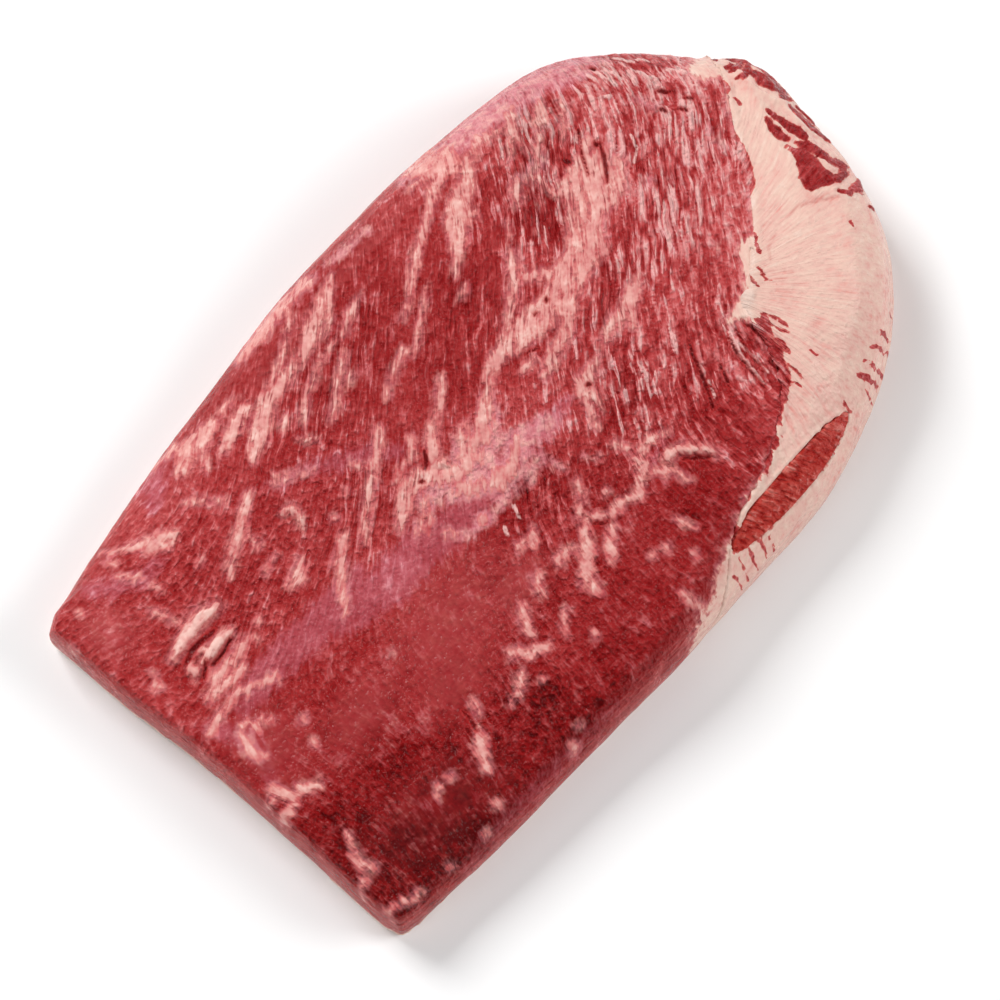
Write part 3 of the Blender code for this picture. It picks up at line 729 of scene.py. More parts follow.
PALE_RIDGES = {
    "top": [(211, 45, 0.7), (210.5, 40, 0.8), (209, 35, 0.6)],
    "big": [(213.5, 26, 0.8), (213.5, 19, 1.2), (215.5, 12, 1.3), (220, 7, 1.2), (226, 5.5, 0.9)],
    "right": [(216, 4, 0.9), (216, -4, 1.3), (216.5, -12, 1.2), (219, -19, 0.8)],
    "rim": [(224, 1, 0.5), (224, -6, 0.5), (224.5, -13, 0.4)],
    "between": [(204.5, 9, 0.6), (205, 2, 0.7), (205, -4, 0.6), (205.5, -9, 0.4)],
    "heart": [(204.5, -24, 0.4), (206.5, -29, 0.9), (206.5, -34, 1.0), (208, -37, 0.6)],
    "side": [(197, -12, 0.6), (194.5, -17, 0.9), (190, -24, 0.9), (186, -29, 0.4)],
    "outer": [(197.5, -46, 0.5), (199.5, -50, 0.7), (204, -53, 0.6)],
    "notch": [(125, -47, 3.0), (116, -48, 2.6), (109, -49, 1.4)],
}
STROKE_GROUPS = [
    FAT_NEAR_THE_ROUNDED_END, FAT_ALONG_THE_FAR_SIDE, FAT_IN_THE_MIDDLE, FAT_NEAR_THE_CUT_END,
    LUMPS, CRACKS_AND_SHADOWS, CRESTS, VEILS, PALE_VEILS, RED_LOBES, RED_THREADS, FAT_CREASES, PALE_RIDGES,
]
print("strokes drawn:", sum(len(group) for group in STROKE_GROUPS))

# %% [markdown]
# ## From strokes to painted points
#
# A stroke says how far inside it a point of the skin lies. These depths, and the softer weights of the
# patches, are stored on the points of each skin, and the finishes read them. Before that, the places are
# shaken a little, more along the fibres than across them, which gives every stroke its frayed edge.


# %% Reading strokes and patches
def stroke_depth(plan, stroke):
    """How far inside a stroke each place lies, in mm: less than 0 outside it."""
    depth = np.full(len(plan), -99.0)
    for (x0, y0, w0), (x1, y1, w1) in zip(stroke, stroke[1:]):
        start, run = np.array((x0, y0), float), np.array((x1 - x0, y1 - y0), float)
        share = np.clip((plan - start) @ run / (run @ run), 0, 1)
        gap = np.linalg.norm(plan - start - share[:, None] * run, axis=1)
        depth = np.maximum(depth, w0 + (w1 - w0) * share - gap)
    return depth


def deepest(plan, strokes):
    depth = np.full(len(plan), -99.0)
    for stroke in strokes.values():
        depth = np.maximum(depth, stroke_depth(plan, stroke))
    return depth


def patch_weight(plan, patches):
    """1 at the middle of a soft patch, falling to 0 at about its edge."""
    weight = np.zeros(len(plan))
    for x, y, length, width, turn in patches:
        turn = math.radians(turn)
        run = (plan[:, 0] - x) * math.cos(turn) + (plan[:, 1] - y) * math.sin(turn)
        side = (plan[:, 1] - y) * math.cos(turn) - (plan[:, 0] - x) * math.sin(turn)
        reach = np.hypot(run / length, side / width)
        weight = np.maximum(weight, np.clip(1.35 - reach, 0, 1))
    return weight


def blended(plan, guides, power=3, blur=8):
    """A number for each place on the plan, blended from the guides around it, mostly the nearest."""
    guides = np.array(guides, float)
    total, weight = np.zeros(len(plan)), np.zeros(len(plan))
    for x, y, value in guides:
        near = 1 / (np.hypot(plan[:, 0] - x, plan[:, 1] - y) + blur) ** power
        total, weight = total + near * value, weight + near
    return total / weight


def beyond_edge(plan):
    """How far past the edge of the meat each place lies, in mm: less than 0 on the meat."""
    gap = -deepest(plan, {"edge": [(x, y, 0.0) for x, y in MEAT_EDGE]})
    ring = MEAT_EDGE + BANK_SIDE
    inside = np.zeros(len(plan), bool)
    for (x0, y0), (x1, y1) in zip(ring, ring[1:] + ring[:1]):
        if y0 != y1:
            spans = (plan[:, 1] > min(y0, y1)) & (plan[:, 1] <= max(y0, y1))
            inside ^= spans & (plan[:, 0] < x0 + (plan[:, 1] - y0) * (x1 - x0) / (y1 - y0))
    return np.where(inside, gap, -gap)


def rough(places, sizes, seed):
    """Smooth noise from -1 to 1 at each place, its grains of this size, or these three, in mm."""
    cells = places / np.array(sizes, float) + seed * 31.7
    return np.array([noise.noise(cell) for cell in cells.tolist()])


def cells(grain, length, width, seed):
    """Long cells along the fibres: how far inside its cell each place is, and the cell's number, 0 to 1."""
    corners = np.random.default_rng(seed).random((64, 64, 3))
    u, v = grain[:, 0] / length, grain[:, 1] / width
    i, j = np.floor(u).astype(int), np.floor(v).astype(int)
    first, second, number = np.full(len(u), 9.0), np.full(len(u), 9.0), np.zeros(len(u))
    for column in (i - 1, i, i + 1):
        for row in (j - 1, j, j + 1):
            corner = corners[column % 64, row % 64]
            gap = np.hypot(u - column - corner[:, 0], v - row - corner[:, 1])
            closer = gap < first
            second = np.where(closer, first, np.minimum(second, gap))
            number = np.where(closer, corner[:, 2], number)
            first = np.minimum(first, gap)
    return second - first, number


def soft_step(value, low, high):
    share = np.clip((value - low) / (high - low), 0, 1)
    return share * share * (3 - 2 * share)


# %% [markdown]
# ## The skins
#
# Each solid has only a few thousand faces, too few for fibres. Its copy is merged, remade by a Remesh
# modifier as an even net of small squares, and smoothed a little, which rounds its cut edges as meat
# rounds. The faces that lie against another piece are never seen, so they are thinned again.

# %% Remaking a solid as a fine skin
SKINS = {  # new piece: the solid it stands for, its slot, and the size of its net in mm
    "lean_skin": ("flat_muscle", "lean", 1.4),
    "fat_skin": ("fat_cap", "fat", 1.4),
    "point_skin": ("point_muscle", "point_lean", 0.8),
}
SMOOTHING = 0.5
SMOOTHING_ROUNDS = 5


def fine_copy(node_name, piece_name, net):
    source = frame["nodes"][node_name]
    piece = bpy.data.objects.new(piece_name, source.data.copy())
    bpy.context.collection.objects.link(piece)
    for key in list(piece.data.keys()):
        del piece.data[key]
    piece.data.materials.clear()
    choose(piece)
    bpy.ops.object.mode_set(mode="EDIT")
    bpy.ops.mesh.select_all(action="SELECT")
    bpy.ops.mesh.remove_doubles(threshold=1e-6)
    bpy.ops.object.mode_set(mode="OBJECT")
    remesh = piece.modifiers.new("net", "REMESH")
    remesh.mode = "VOXEL"
    remesh.voxel_size = net * MM
    bpy.ops.object.modifier_apply(modifier="net")
    smooth = piece.modifiers.new("soften", "SMOOTH")
    smooth.factor, smooth.iterations = SMOOTHING, SMOOTHING_ROUNDS
    bpy.ops.object.modifier_apply(modifier="soften")
    print(piece_name, "has", len(piece.data.polygons), "faces")
    return piece


skins = {name: fine_copy(node, name, net) for name, (node, _, net) in SKINS.items()}

# %% Thinning what is never seen
TOUCHING = 2.2 * MM
RIM_KEPT = 5
HIDDEN_KEPT_SHARE = 0.10


def tree_of(node_name):
    mesh = frame["nodes"][node_name].data
    return BVHTree.FromPolygons([v.co for v in mesh.vertices], [p.vertices for p in mesh.polygons])


solid_trees = {node: tree_of(node) for node, _, _ in SKINS.values()}


def point_table(piece):
    mesh = piece.data
    count = len(mesh.vertices)
    places, normals = np.empty(count * 3), np.empty(count * 3)
    mesh.vertices.foreach_get("co", places)
    mesh.vertices.foreach_get("normal", normals)
    return places.reshape(-1, 3), normals.reshape(-1, 3)


def distance_to(node_name, places, reach=8.0):
    """How far each place is from a solid, in mm, counted up to the reach."""
    tree = solid_trees[node_name]
    found = [tree.find_nearest(place, reach * MM)[3] for place in places.tolist()]
    return np.array([reach if distance is None else distance / MM for distance in found])


def thin_hidden(piece, own_node):
    """Joins the small faces that lie against another piece, away from the rim that can be seen."""
    others = [tree for node, tree in solid_trees.items() if node != own_node]
    choose(piece)
    bpy.ops.object.mode_set(mode="EDIT")
    net = bmesh.from_edit_mesh(piece.data)
    for face in net.faces:
        middle = face.calc_center_median()
        face.select = any(tree.find_nearest(middle, TOUCHING)[0] is not None for tree in others)
    net.select_flush_mode()
    bmesh.update_edit_mesh(piece.data)
    for _ in range(RIM_KEPT):
        bpy.ops.mesh.select_less()
    bpy.ops.mesh.decimate(ratio=HIDDEN_KEPT_SHARE)
    bpy.ops.object.mode_set(mode="OBJECT")


for piece_name, (node_name, _, _) in SKINS.items():
    thin_hidden(skins[piece_name], node_name)
    mesh = skins[piece_name].data
    triangles = sum(len(face.vertices) - 2 for face in mesh.polygons)
    print(piece_name, "keeps", len(mesh.polygons), "faces,", triangles, "triangles")

# %% Easing the facets of the shoulder
EASING_ROUNDS = 110
EASED_SPOT = (178, -72)
EASED_REACH = (34, 62)  # full within the first, in mm, and none past the second
EASED_HEIGHT = (22, 34)
EASED_GAP = (1, 6)


def ease_facets(piece, own_node):
    """Smooths a skin more over its sharpest bend, away from its base and the pieces that it touches."""
    places, normals = point_table(piece)
    others = [node for node in solid_trees if node != own_node]
    gap = np.minimum.reduce([distance_to(node, places) for node in others])
    away = np.hypot(*(places[:, :2] / MM - EASED_SPOT).T)
    share = soft_step(gap, *EASED_GAP) * soft_step(places[:, 2] / MM, *EASED_HEIGHT)
    share = share * (1 - soft_step(away, *EASED_REACH))
    group = piece.vertex_groups.new(name="shoulder")
    for index, weight in enumerate(share.tolist()):
        group.add([index], weight, "REPLACE")
    ease = piece.modifiers.new("ease", "SMOOTH")
    ease.factor, ease.iterations, ease.vertex_group = SMOOTHING, EASING_ROUNDS, group.name
    choose(piece)
    bpy.ops.object.modifier_apply(modifier="ease")
    piece.vertex_groups.clear()
    print(piece.name, "eased at", int((share > 0.5).sum()), "of its points")


ease_facets(skins["fat_skin"], "fat_cap")

# %% [markdown]
# ## Relief and paint
#
# Now each point of a skin is moved a little along its own direction: slow swells, bundles of fibres with
# sharp grooves between them, raised fat, lumps and cracks. Sculpting brushes would do this by hand, and
# a Displace modifier could follow one pattern, but neither follows the fibre map. So the points are
# moved in code. The same numbers are stored on the points as paint for the finishes.

# %% How high each form stands, in mm
SWELL = 0.55
BUNDLE = 0.9
FINE_BUNDLE = 0.5
GRAIN_HEIGHT = 0.30
WALL_GRAIN = 0.35
FAT_HEIGHT = 0.55
FAT_WAVE = 0.35
LUMP_HEIGHT = 1.9
LUMP_MOAT = 0.7
CREST_HEIGHT = 0.7
CRACK_DEPTH = 1.0
SCRAP_HEIGHT = 0.7
SCRAP_MOAT = 0.5
CREASE_DEPTH = 0.6
RIDGE_HEIGHT = 0.8

# %% Places counted along the fibres of each skin
DRAWING_MIDDLE = (-2.1, 0)  # where the zero of the drawing lies on the plan, in mm
FAT_GRAIN_CENTRE = (115, -30)  # the fat is drawn out from here, like the ribs of a shell
FAT_GRAIN_RADIUS = 90
POINT_GRAIN_TURN = -65


def grain_of(plan, height, nature):
    """Places counted along the fibres, across them and upwards, in mm."""
    if nature == "fat":
        spread = plan - np.array(FAT_GRAIN_CENTRE)
        round_centre = np.arctan2(spread[:, 1], spread[:, 0]) * FAT_GRAIN_RADIUS
        return np.column_stack((np.hypot(*spread.T), round_centre, height))
    if nature == "point":
        turn = math.radians(POINT_GRAIN_TURN)
        along = plan @ (math.cos(turn), math.sin(turn))
        return np.column_stack((along - height, plan @ (-math.sin(turn), math.cos(turn)), height))
    return np.column_stack((read_map(map_along, plan), read_map(map_across, plan), height))


# %% Reading the whole drawing at the points of a skin
SOFT_FAT_DEPTH = 1.6
FRAY_SHORT, FRAY_LONG, FRAY_ACROSS = 2.6, 2.0, 1.0  # how far the places are shaken, in mm
EDGE_FRAY_LONG = 3.0
FAT_STROKES = {
    **FAT_NEAR_THE_ROUNDED_END,
    **FAT_ALONG_THE_FAR_SIDE,
    **FAT_IN_THE_MIDDLE,
    **FAT_NEAR_THE_CUT_END,
}


def read_drawing(piece, nature):
    """The points of a skin, with how deep each lies in the strokes, and its share of each patch."""
    skin = SimpleNamespace(nature=nature)
    skin.places, skin.normals = point_table(piece)
    skin.up = np.clip(skin.normals[:, 2] * 1.6 - 0.2, 0, 1)
    skin.wall = 1 - skin.up
    spots = skin.spots = skin.places / MM
    plan = spots[:, :2] - DRAWING_MIDDLE
    grain = skin.grain = grain_of(plan, spots[:, 2], nature)
    grain[:, 1] += rough(spots, 15, 14) * 1.4 + rough(spots, 6, 15) * 0.5

    angle = read_map(fibre_angle, plan)
    run = np.column_stack((np.cos(angle), np.sin(angle)))
    fray_short = rough(grain, (9, 1.8, 6), 1)
    fray_long = rough(grain, (14, 5, 8), 2)
    fray_across = rough(grain, (6, 4, 6), 3)
    shaken = plan + run * (fray_short * FRAY_SHORT + fray_long * FRAY_LONG)[:, None]
    shaken = shaken + (run[:, ::-1] * (-1, 1)) * (fray_across * FRAY_ACROSS)[:, None]
    edge_shaken = plan + run * (fray_short * FRAY_SHORT + fray_long * EDGE_FRAY_LONG)[:, None]

    def frayed(strokes, share):
        """How deep each point lies in these strokes, when it is shaken only by this share."""
        return deepest(plan + (shaken - plan) * share, strokes)

    fat = deepest(shaken, FAT_STROKES)
    for x, y, size in CRUMBS:
        fat = np.maximum(fat, size - np.hypot(plan[:, 0] - x, plan[:, 1] - y))
    skin.lump = frayed(LUMPS, 0.6) + rough(spots, 4, 16) * 0.9
    skin.fat = np.maximum(np.minimum(fat, SOFT_FAT_DEPTH), skin.lump)
    skin.crack = frayed(CRACKS_AND_SHADOWS, 0.3)
    skin.crest = frayed(CRESTS, 0.3)
    skin.creases = frayed(FAT_CREASES, 0.3)
    skin.ridges = frayed(PALE_RIDGES, 0.3)
    skin.edge = beyond_edge(edge_shaken)
    skin.lobes = frayed(RED_LOBES, 0.45) + fray_long * 0.5 + 0.4
    skin.threads = frayed(RED_THREADS, 0.8) + fray_short * 0.5 + rough(spots, 5, 17) * 0.9 - 0.1
    skin.film = soft_step(deepest(shaken, VEILS), -5, 7)
    skin.pale = soft_step(deepest(shaken, PALE_VEILS), -5, 5)
    skin.tone = blended(shaken, TONE_GUIDES)
    skin.smooth = patch_weight(shaken, SMOOTH_MEAT)
    skin.bundled = patch_weight(shaken, BUNDLED_MEAT)
    skin.streaked = patch_weight(shaken, STREAKED_MEAT)
    skin.granular = patch_weight(shaken, GRANULAR_MEAT)
    return skin


# %% [markdown]
# ## What is fat and what is meat
#
# The bank is hard fat with scraps of red meat in it, and the lean side is meat with soft fat on it. Both
# could be cut out as pieces of their own, but on the real thing they grow into each other without a gap.
# So each point keeps one number, how deep in fat it lies, and the finish lets that edge fray.

# %% Settling what is fat and what is meat on each skin
BANK_FOOT = 16  # above this height, in mm, the bank of fat is streaked with red
OUTSIDE = -9.0  # a depth well outside every stroke
SCRAP_TONE = 0.56
BANK_TONE = 0.80
POINT_TONE = 0.76
WALL_TONE = 0.76
SCRAP_BUNDLES = 0.5
POINT_BUNDLES = 0.55


def settle_cover(skin):
    """Settles how deep in fat each point lies, how hard that fat is, and how red the meat is there."""
    high = skin.spots[:, 2] > BANK_FOOT
    skin.bank = (skin.up > 0.02) & high
    ridge = np.where(skin.bank, skin.ridges, OUTSIDE)
    if skin.nature == "lean":
        seen = (skin.up > 0) | (high & (skin.edge > -1))
        skin.fat = np.where(seen, np.maximum(np.maximum(skin.fat, skin.edge), ridge), OUTSIDE)
        skin.hard = soft_step(np.maximum(skin.edge, ridge), -3, 0)
    elif skin.nature == "fat":
        beside_point = 0.4 - distance_to("point_muscle", skin.places)
        red = np.maximum(skin.lobes, np.maximum(skin.threads * 1.5, beside_point))
        fat = np.where(skin.bank & (np.abs(skin.edge) < 40), np.maximum(skin.edge, -4), -OUTSIDE)
        fat = np.minimum(fat, np.where(skin.bank, -np.maximum(red, OUTSIDE), -OUTSIDE))
        skin.fat = np.maximum(fat, ridge)
        skin.hard = np.ones(len(fat))
        scrap = skin.lobes > -1.5
        skin.tone = np.where(scrap, SCRAP_TONE, np.where(skin.edge < -1, skin.tone, BANK_TONE))
        skin.bundled = np.where(scrap, SCRAP_BUNDLES, skin.bundled)
    else:
        skin.fat = -distance_to("fat_cap", skin.places)
        skin.hard = np.ones(len(skin.fat))
        skin.tone = np.full(len(skin.fat), POINT_TONE)
        skin.bundled = np.full(len(skin.fat), POINT_BUNDLES)
    if skin.nature != "lean":
        skin.film, skin.pale, skin.crest = skin.film * 0, skin.pale * 0, skin.crest * 0 + OUTSIDE
    skin.tone = skin.tone + (WALL_TONE - skin.tone) * 0.7 * skin.wall * (skin.normals[:, 2] > -0.3)
    skin.fat = np.clip(skin.fat, -4, 4)


# %% [markdown]
# ## The relief
#
# Every form has its own height. The meat has bundles of fibres with sharp grooves between them, the walls
# have layers, and the fat only has slow waves. The forms are added up, the lumps and cracks last.

# %% The relief of meat
def bundles(grain, length, width, seed, rise):
    """Bundles of this size in mm: their height, how far inside its own each point is, and its number."""
    inside, number = cells(grain, length, width, seed)
    return (soft_step(inside, 0, 0.6) * (0.6 + 0.8 * number) - 0.6) * rise, inside, number


def meat_relief(skin):
    """How high the bundles and grains of the top and the layers of the walls stand, in mm."""
    wide, skin.inside, skin.number = bundles(skin.grain, 22, 4.2, 7, BUNDLE)
    fine = bundles(skin.grain, 13, 2.6, 8, FINE_BUNDLE)[0]
    calm = 1 - 0.75 * skin.smooth - 0.35 * skin.film
    lines = wide * (0.25 + 0.9 * skin.bundled + 0.2 * skin.streaked)
    lines = lines + fine * (0.3 + 0.7 * skin.bundled)
    grains = rough(skin.spots, 3.2, 9) * GRAIN_HEIGHT
    top = skin.up * calm * lines + skin.up * (0.3 + skin.granular) * grains
    layers = rough(skin.spots, (16, 16, 3.0), 10) * 0.6 + rough(skin.spots, (7, 7, 2.2), 11) * 0.5
    return top + skin.wall * WALL_GRAIN * layers


# %% The relief of a whole skin
SEAM_REACH = 3.5
SEAM_SWELL = {"lean": 1.6, "fat": 1.6, "point": 0.7}
SOLID_OF = {"lean": "flat_muscle", "fat": "fat_cap", "point": "point_muscle"}


def seam_fill(skin):
    """How far, in mm, the rim of a skin swells towards the piece that it touches, to close the seam."""
    others = [node for node in solid_trees if node != SOLID_OF[skin.nature]]
    gap = np.minimum.reduce([distance_to(node, skin.places, SEAM_REACH) for node in others])
    return (1 - gap / SEAM_REACH) * SEAM_SWELL[skin.nature]


def find_relief(skin):
    """How far each point moves out of its solid, in mm."""
    spots, up, bank, lobes, lump = skin.spots, skin.up, skin.bank, skin.lobes, skin.lump
    meaty = soft_step(-skin.fat, -0.8, 1.2)
    swell = rough(spots, (46, 40, 40), 5) * SWELL + rough(spots, (19, 17, 17), 6) * SWELL * 0.5
    waves = rough(spots, (13, 11, 9), 12) * FAT_WAVE + rough(spots, 5, 13) * FAT_WAVE * 0.35
    relief = swell + meaty * meat_relief(skin) + (1 - meaty) * waves
    if skin.nature == "lean":
        relief += up * (1 - meaty) * (1 - skin.hard) * FAT_HEIGHT
    else:
        moat = soft_step(0.8 - np.abs(lobes + 0.2), 0, 0.8) * SCRAP_MOAT
        relief += (soft_step(lobes, -0.3, 1.6) * SCRAP_HEIGHT - moat) * bank
        relief -= soft_step(skin.creases, -0.8, 0.4) * CREASE_DEPTH * bank
        relief += soft_step(skin.ridges, -0.8, 1.0) * RIDGE_HEIGHT * bank
    relief += soft_step(lump, -0.6, 2.2) * LUMP_HEIGHT * up
    relief += soft_step(skin.crest, -0.8, 0.8) * CREST_HEIGHT * up
    relief -= np.exp(-((np.clip(-lump - 0.9, 0, None) / 0.9) ** 2)) * (lump < -0.2) * LUMP_MOAT * up
    relief -= soft_step(skin.crack, -0.9, 0.7) * CRACK_DEPTH * up
    relief += seam_fill(skin) * (0.15 + 0.85 * up)
    return relief * (1 - soft_step(-skin.normals[:, 2], 0.3, 0.8))


# %% Moving the points and storing their paint
PAINT_LAYERS = {  # three numbers are stored together
    "skin_film": ("film", "smooth", "tone"),
    "meat_kind": ("bundled", "streaked", "granular"),
    "form": ("wall", "relief", "hard"),
    "lines": ("crack", "crest", "inside"),
    "layers": ("number", "pale", "lean"),
}


def store(piece, name, values):
    """Stores numbers or triples on the points of a piece, for a finish to read."""
    kind = "FLOAT" if values.ndim == 1 else "FLOAT_VECTOR"
    layer = piece.data.attributes.new(name, kind, "POINT")
    field = "value" if values.ndim == 1 else "vector"
    layer.data.foreach_set(field, np.ascontiguousarray(values, np.float32).ravel())


def dress(piece, nature):
    """Gives a skin its relief and its paint. The nature is lean, fat or point."""
    skin = read_drawing(piece, nature)
    settle_cover(skin)
    skin.relief = find_relief(skin)
    moved = skin.places + skin.normals * (skin.relief * MM)[:, None]
    moved[:, 2] = np.maximum(moved[:, 2], cad_low[2])
    piece.data.vertices.foreach_set("co", moved.ravel())
    piece.data.update()

    # the creases of the fat join the cracks, to be painted with their shade
    skin.crack = np.maximum(skin.crack, skin.creases)
    skin.lean = np.full(len(moved), float(nature == "lean"))
    store(piece, "grain", skin.grain * MM)
    store(piece, "fat_depth", skin.fat)
    for layer, names in PAINT_LAYERS.items():
        store(piece, layer, np.column_stack([getattr(skin, name) for name in names]))
    print(piece.name, "moved by up to", round(float(np.abs(skin.relief).max()), 2), "mm")


dress(skins["lean_skin"], "lean")
dress(skins["fat_skin"], "fat")
dress(skins["point_skin"], "point")

# %% [markdown]
# ## The finishes
#
# Raw meat is dark red between its fibres, where the finish also paints shade into the grooves, and pale
# where a thin film or fat covers them, and it is wet.
# A printed picture laid over it would give all that at once, but only from one side and in one size. The
# finish is mixed instead: a red that follows the fibres, then streaks of marbling, then purple skin,
# then fat, each laid over the last where the painted points and the noise together say so.

# %% Colours, each as a row of stops from its darkest to its palest
MEAT_STOPS = [
    (0.00, colour(84, 3, 5)),
    (0.12, colour(112, 8, 10)),
    (0.25, colour(132, 18, 20)),
    (0.38, colour(145, 30, 32)),
    (0.50, colour(155, 40, 41)),
    (0.62, colour(166, 53, 54)),
    (0.72, colour(179, 66, 67)),
    (0.80, colour(191, 81, 81)),
    (0.88, colour(205, 108, 108)),
    (0.94, colour(219, 140, 138)),
    (1.00, colour(232, 172, 167)),
]
FILM_STOPS = [
    (0.00, colour(100, 26, 32)),
    (0.35, colour(139, 47, 53)),
    (0.58, colour(164, 68, 77)),
    (0.72, colour(178, 82, 91)),
    (0.82, colour(189, 98, 108)),
    (0.91, colour(206, 126, 136)),
    # the palest stop also serves the painted glare along the far rim of the rounded end
    (1.00, colour(226, 162, 170)),
]
SOFT_FAT_STOPS = [
    (0.00, colour(182, 78, 80)),
    (0.25, colour(197, 106, 106)),
    (0.50, colour(211, 137, 132)),
    (0.75, colour(221, 158, 150)),
    (1.00, colour(232, 186, 176)),
]
HARD_FAT_STOPS = [
    (0.00, colour(204, 112, 106)),
    (0.25, colour(218, 150, 140)),
    (0.50, colour(224, 178, 166)),
    (0.75, colour(227, 190, 175)),
    (1.00, colour(232, 203, 190)),
]
POINT_STOPS = [
    (0.00, colour(120, 8, 9)),
    (0.30, colour(158, 26, 22)),
    (0.55, colour(180, 50, 43)),
    (0.75, colour(196, 74, 65)),
    (0.90, colour(212, 112, 102)),
    (1.00, colour(230, 168, 156)),
]
HAZE_STOPS = [
    (0.00, colour(200, 112, 122)),
    (0.50, colour(218, 142, 145)),
    (1.00, colour(230, 168, 160)),
]

# %% Single colours
# pale crest colour, partly a painted wet glint over pale fat
CREST_AND_GLINT_COLOUR = colour(238, 188, 182)
RIM_COLOUR = colour(204, 66, 62)
WALL_COLOUR = colour(204, 96, 92)
# the dark of cracks, creases and the shadows under lumps: painted shade, darkest in the middle
CRACK_RIM_AND_SHADE_COLOUR = colour(178, 48, 48)
CRACK_AND_SHADE_COLOUR = colour(96, 3, 6)


# %% Reading the paint and adding the patterns, their sizes in metres
def read_paint(finish):
    """The numbers that are stored on the points, as wires, each under its name."""
    meat = SimpleNamespace()
    meat.grain = finish.attribute("grain", output=1)
    meat.fat_depth = finish.attribute("fat_depth")
    for layer, names in PAINT_LAYERS.items():
        triple = finish.attribute(layer, output=1)
        for index, name in enumerate(names):
            setattr(meat, name, finish.node("ShaderNodeSeparateXYZ", {}, {0: triple}, output=index))
    return meat


def add_patterns(finish, meat):
    """Adds the cells and noise of meat, some along the fibres and some even."""
    place = finish.node("ShaderNodeTexCoord", output=3)
    meat.cell_rise, meat.cell = finish.cells(meat.grain, (0.0110, 0.0019))
    meat.fibre = finish.grains(meat.grain, (0.0070, 0.0014, 0.0026), detail=1.0)
    meat.streak = finish.grains(meat.grain, (0.0150, 0.0024, 0.0040), detail=1.0)
    meat.fat_line = finish.grains(meat.grain, (0.0260, 0.0026, 0.0040), detail=2.0)
    meat.mottle = finish.grains(place, (0.0032, 0.0032, 0.0032), detail=1.5, roughness=0.6)
    meat.blotch = finish.grains(place, (0.0055, 0.0055, 0.0055), detail=2.0)
    meat.patchy = finish.grains(place, (0.0120, 0.0120, 0.0120), detail=2.0)
    meat.layer = finish.grains(place, (0.0120, 0.0120, 0.0016), detail=3.0)
    meat.lined = meat.bundled + 0.75 * meat.streaked
    along = meat.lined * (1.3 * meat.cell + 0.40 * meat.streak) + 0.40 * meat.fibre
    texture = (1 - meat.wall) * (along + (0.45 + 0.30 * meat.granular) * meat.mottle)
    meat.texture = texture + meat.wall * (0.6 * meat.layer + 0.4 * meat.mottle)
    meat.calm = 1 - 0.60 * meat.smooth - 0.35 * meat.film


# %% The red of the meat, with painted shade in its grooves and painted glints, and the thin purple skin over it
PALEST_VALUE = 0.86  # values above this are held back, so that pale meat keeps its grain


def meat_colour(finish, meat, stops):
    # groove_shade is painted shade in the grooves between bundles; the inside term of bundle pales each
    # bundle's middle, where it stands highest, as painted light over its own random tone
    groove_shade = (1 - meat.inside.step(0.0, 0.30)) * meat.bundled * (0 - meat.fat_depth).step(0.5, 2.5)
    bundle = meat.bundled * (0.36 * (meat.number - 0.5) + 0.24 * (meat.inside - 0.35))
    lively = meat.calm - 0.30 * meat.bundled
    value = meat.tone - 0.10 + lively * (0.21 * meat.texture + bundle - 0.34 * groove_shade)
    # the relief term is painted light and shade: paler where the skin stands high, darker where it sinks
    value = value + 0.07 * meat.patchy + 0.08 * meat.relief + 0.045 * meat.bundled
    # the flecks are pale streaks along the bundles, partly the meat's own pale fibres and partly painted
    # wet glints
    fleck = (meat.cell + 0.16 * meat.fibre + 0.10 * meat.streak).step(0.12, 0.55)
    fleck = fleck * (0.20 + 0.80 * meat.lined) * (0.4 + 0.6 * meat.lean)
    value = value + meat.calm * fleck * 0.26
    over = finish.node("ShaderNodeMath", {"operation": "MAXIMUM"}, {0: value - PALEST_VALUE, 1: 0.0})
    value = value - 0.55 * over
    film = meat.film + 0.14 * meat.patchy + 0.12 * meat.fibre + 0.30 * meat.cell + 0.08 * meat.mottle
    skin = finish.ramp(value + 0.06, FILM_STOPS)
    return finish.mix(film.step(0.05, 1.05) * 0.9, finish.ramp(value, stops), skin)


def hazed(finish, meat, red):
    """The red under its pink haze of thin fat, which along the far rim of the rounded end is partly painted
    glare, and plainer on the walls.
    """
    haze = 0.45 * meat.fat_depth + 1.5 * meat.pale + 0.7 * meat.cell + 0.20 * meat.fibre
    haze = haze + 0.35 * meat.patchy + 0.20 * meat.mottle
    haze = haze.step(-1.7, 0.3) * (0.40 + 0.50 * meat.pale) + 0.14 * meat.smooth * meat.tone
    pink = finish.ramp(0.5 + 0.35 * meat.blotch + 0.20 * meat.mottle, HAZE_STOPS)
    red = finish.mix(haze * meat.lean, red, pink)
    walls = (meat.wall + 0.30 * meat.layer + 0.15 * meat.patchy).step(0.2, 1.5)
    return finish.mix(walls * meat.lean * 0.6, red, WALL_COLOUR)


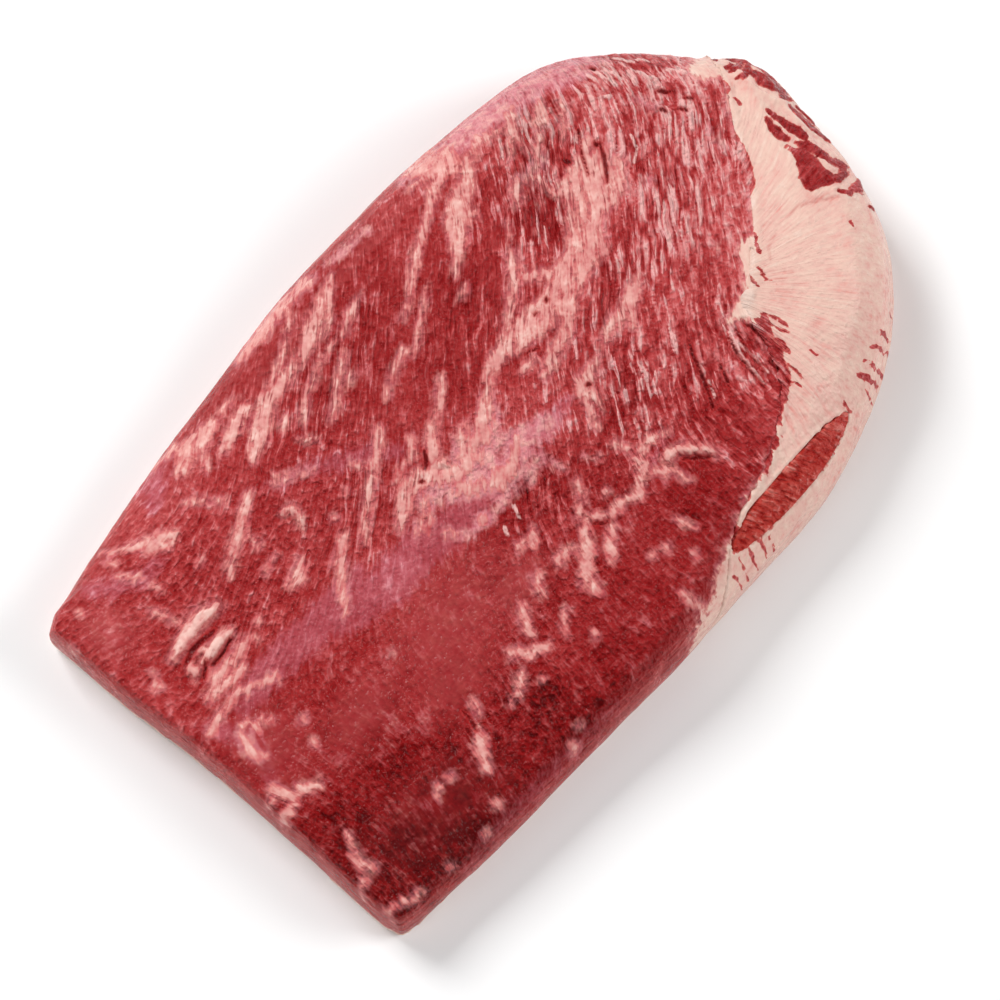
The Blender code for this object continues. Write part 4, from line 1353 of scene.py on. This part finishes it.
# %% Fat, crests and cracks
def with_fat(finish, meat, red):
    """Lays soft and hard fat over the meat, with a bright red rim where they meet."""
    fray = 0.9 * meat.cell + 0.30 * meat.fibre + 0.28 * meat.streak + 0.22 * meat.mottle
    veil = (1.30 - 0.85 * meat.lean) * meat.fat_depth + fray * (0.60 + 0.40 * meat.lean)
    meat.covered = veil.step(-0.50, 0.80)
    soft = 0.46 + 0.10 * meat.fat_depth + 0.12 * meat.texture + 0.12 * meat.patchy
    # the relief terms of soft and hard fat are painted light and shade: paler where the skin stands high,
    # darker in its hollows
    soft = soft + 0.16 * meat.blotch + 0.08 * meat.relief
    hard = 0.58 + 0.15 * meat.fat_line + 0.10 * meat.patchy + 0.05 * meat.mottle + 0.16 * meat.relief
    fat = finish.mix(meat.hard, finish.ramp(soft, SOFT_FAT_STOPS), finish.ramp(hard, HARD_FAT_STOPS))
    shown = finish.mix(meat.covered, red, fat)
    rim = meat.covered * (1 - meat.covered) * (1.2 + 1.6 * (1 - meat.lean))
    return finish.mix(rim, shown, RIM_COLOUR)


def with_lines(finish, meat, shown):
    """Adds the pale crests of single bundles, partly painted wet glints, and the cracks, painted dark as
    shade in them and as shadows under lumps, which are fainter in hard fat.
    """
    shown = finish.mix((meat.crest + 0.25 * meat.fibre).step(-0.50, 0.50) * 0.85, shown, CREST_AND_GLINT_COLOUR)
    # the dark of cracks, creases and the shadows under lumps is painted shade
    crack = meat.crack + 0.25 * meat.fibre + 0.15 * meat.mottle
    shown = finish.mix(crack.step(-1.5, 0.1) * (0.75 - 0.45 * meat.hard), shown, CRACK_RIM_AND_SHADE_COLOUR)
    return finish.mix(crack.step(-0.6, 0.5) * (0.90 - 0.80 * meat.hard), shown, CRACK_AND_SHADE_COLOUR)


# %% The whole finish of a skin
BUMP_DEPTH = 0.0015
WET_ROUGHNESS = 0.22


def meat_and_fat(name, meat_stops):
    """The finish of one skin, from the colours of its meat."""
    finish = Finish(name)
    meat = read_paint(finish)
    add_patterns(finish, meat)
    red = hazed(finish, meat, meat_colour(finish, meat, meat_stops))
    shown = with_lines(finish, meat, with_fat(finish, meat, red))
    height = 0.35 * meat.texture + 0.15 * meat.mottle - 1.1 * meat.lined * meat.cell_rise
    height = meat.calm * height * (1 - 0.70 * meat.covered)
    bump = finish.node("ShaderNodeBump", {}, {"Strength": 1.0, "Distance": BUMP_DEPTH, "Height": height})
    sockets = {
        "Base Color": shown,
        "Roughness": WET_ROUGHNESS + 0.03 * meat.patchy + 0.03 * meat.fibre,
        "Specular IOR Level": 0.08,
        "Coat Weight": 0.02,
        "Coat Roughness": 0.08,
        "Normal": bump,
    }
    surface = finish.node("ShaderNodeBsdfPrincipled", {}, sockets)
    finish.node("ShaderNodeOutputMaterial", {}, {"Surface": surface})
    print(name, "has", len(finish.tree.nodes), "nodes")
    return finish.material


finishes = {
    "lean_skin": meat_and_fat("lean_meat", MEAT_STOPS),
    "fat_skin": meat_and_fat("hard_fat", MEAT_STOPS),
    "point_skin": meat_and_fat("point_meat", POINT_STOPS),
}

# %% [markdown]
# ## Fitting the skins in place
#
# Each skin rides on the one body in place of its solid, which is hidden, and is shaded smoothly.

# %% Putting the pieces in place
for piece_name, (node_name, slot_name, _) in SKINS.items():
    piece = skins[piece_name]
    piece.data.materials.append(finishes[piece_name])
    choose(piece)
    bpy.ops.object.shade_smooth()
    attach(piece, "root")
    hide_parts(node_name)
deselect_all()
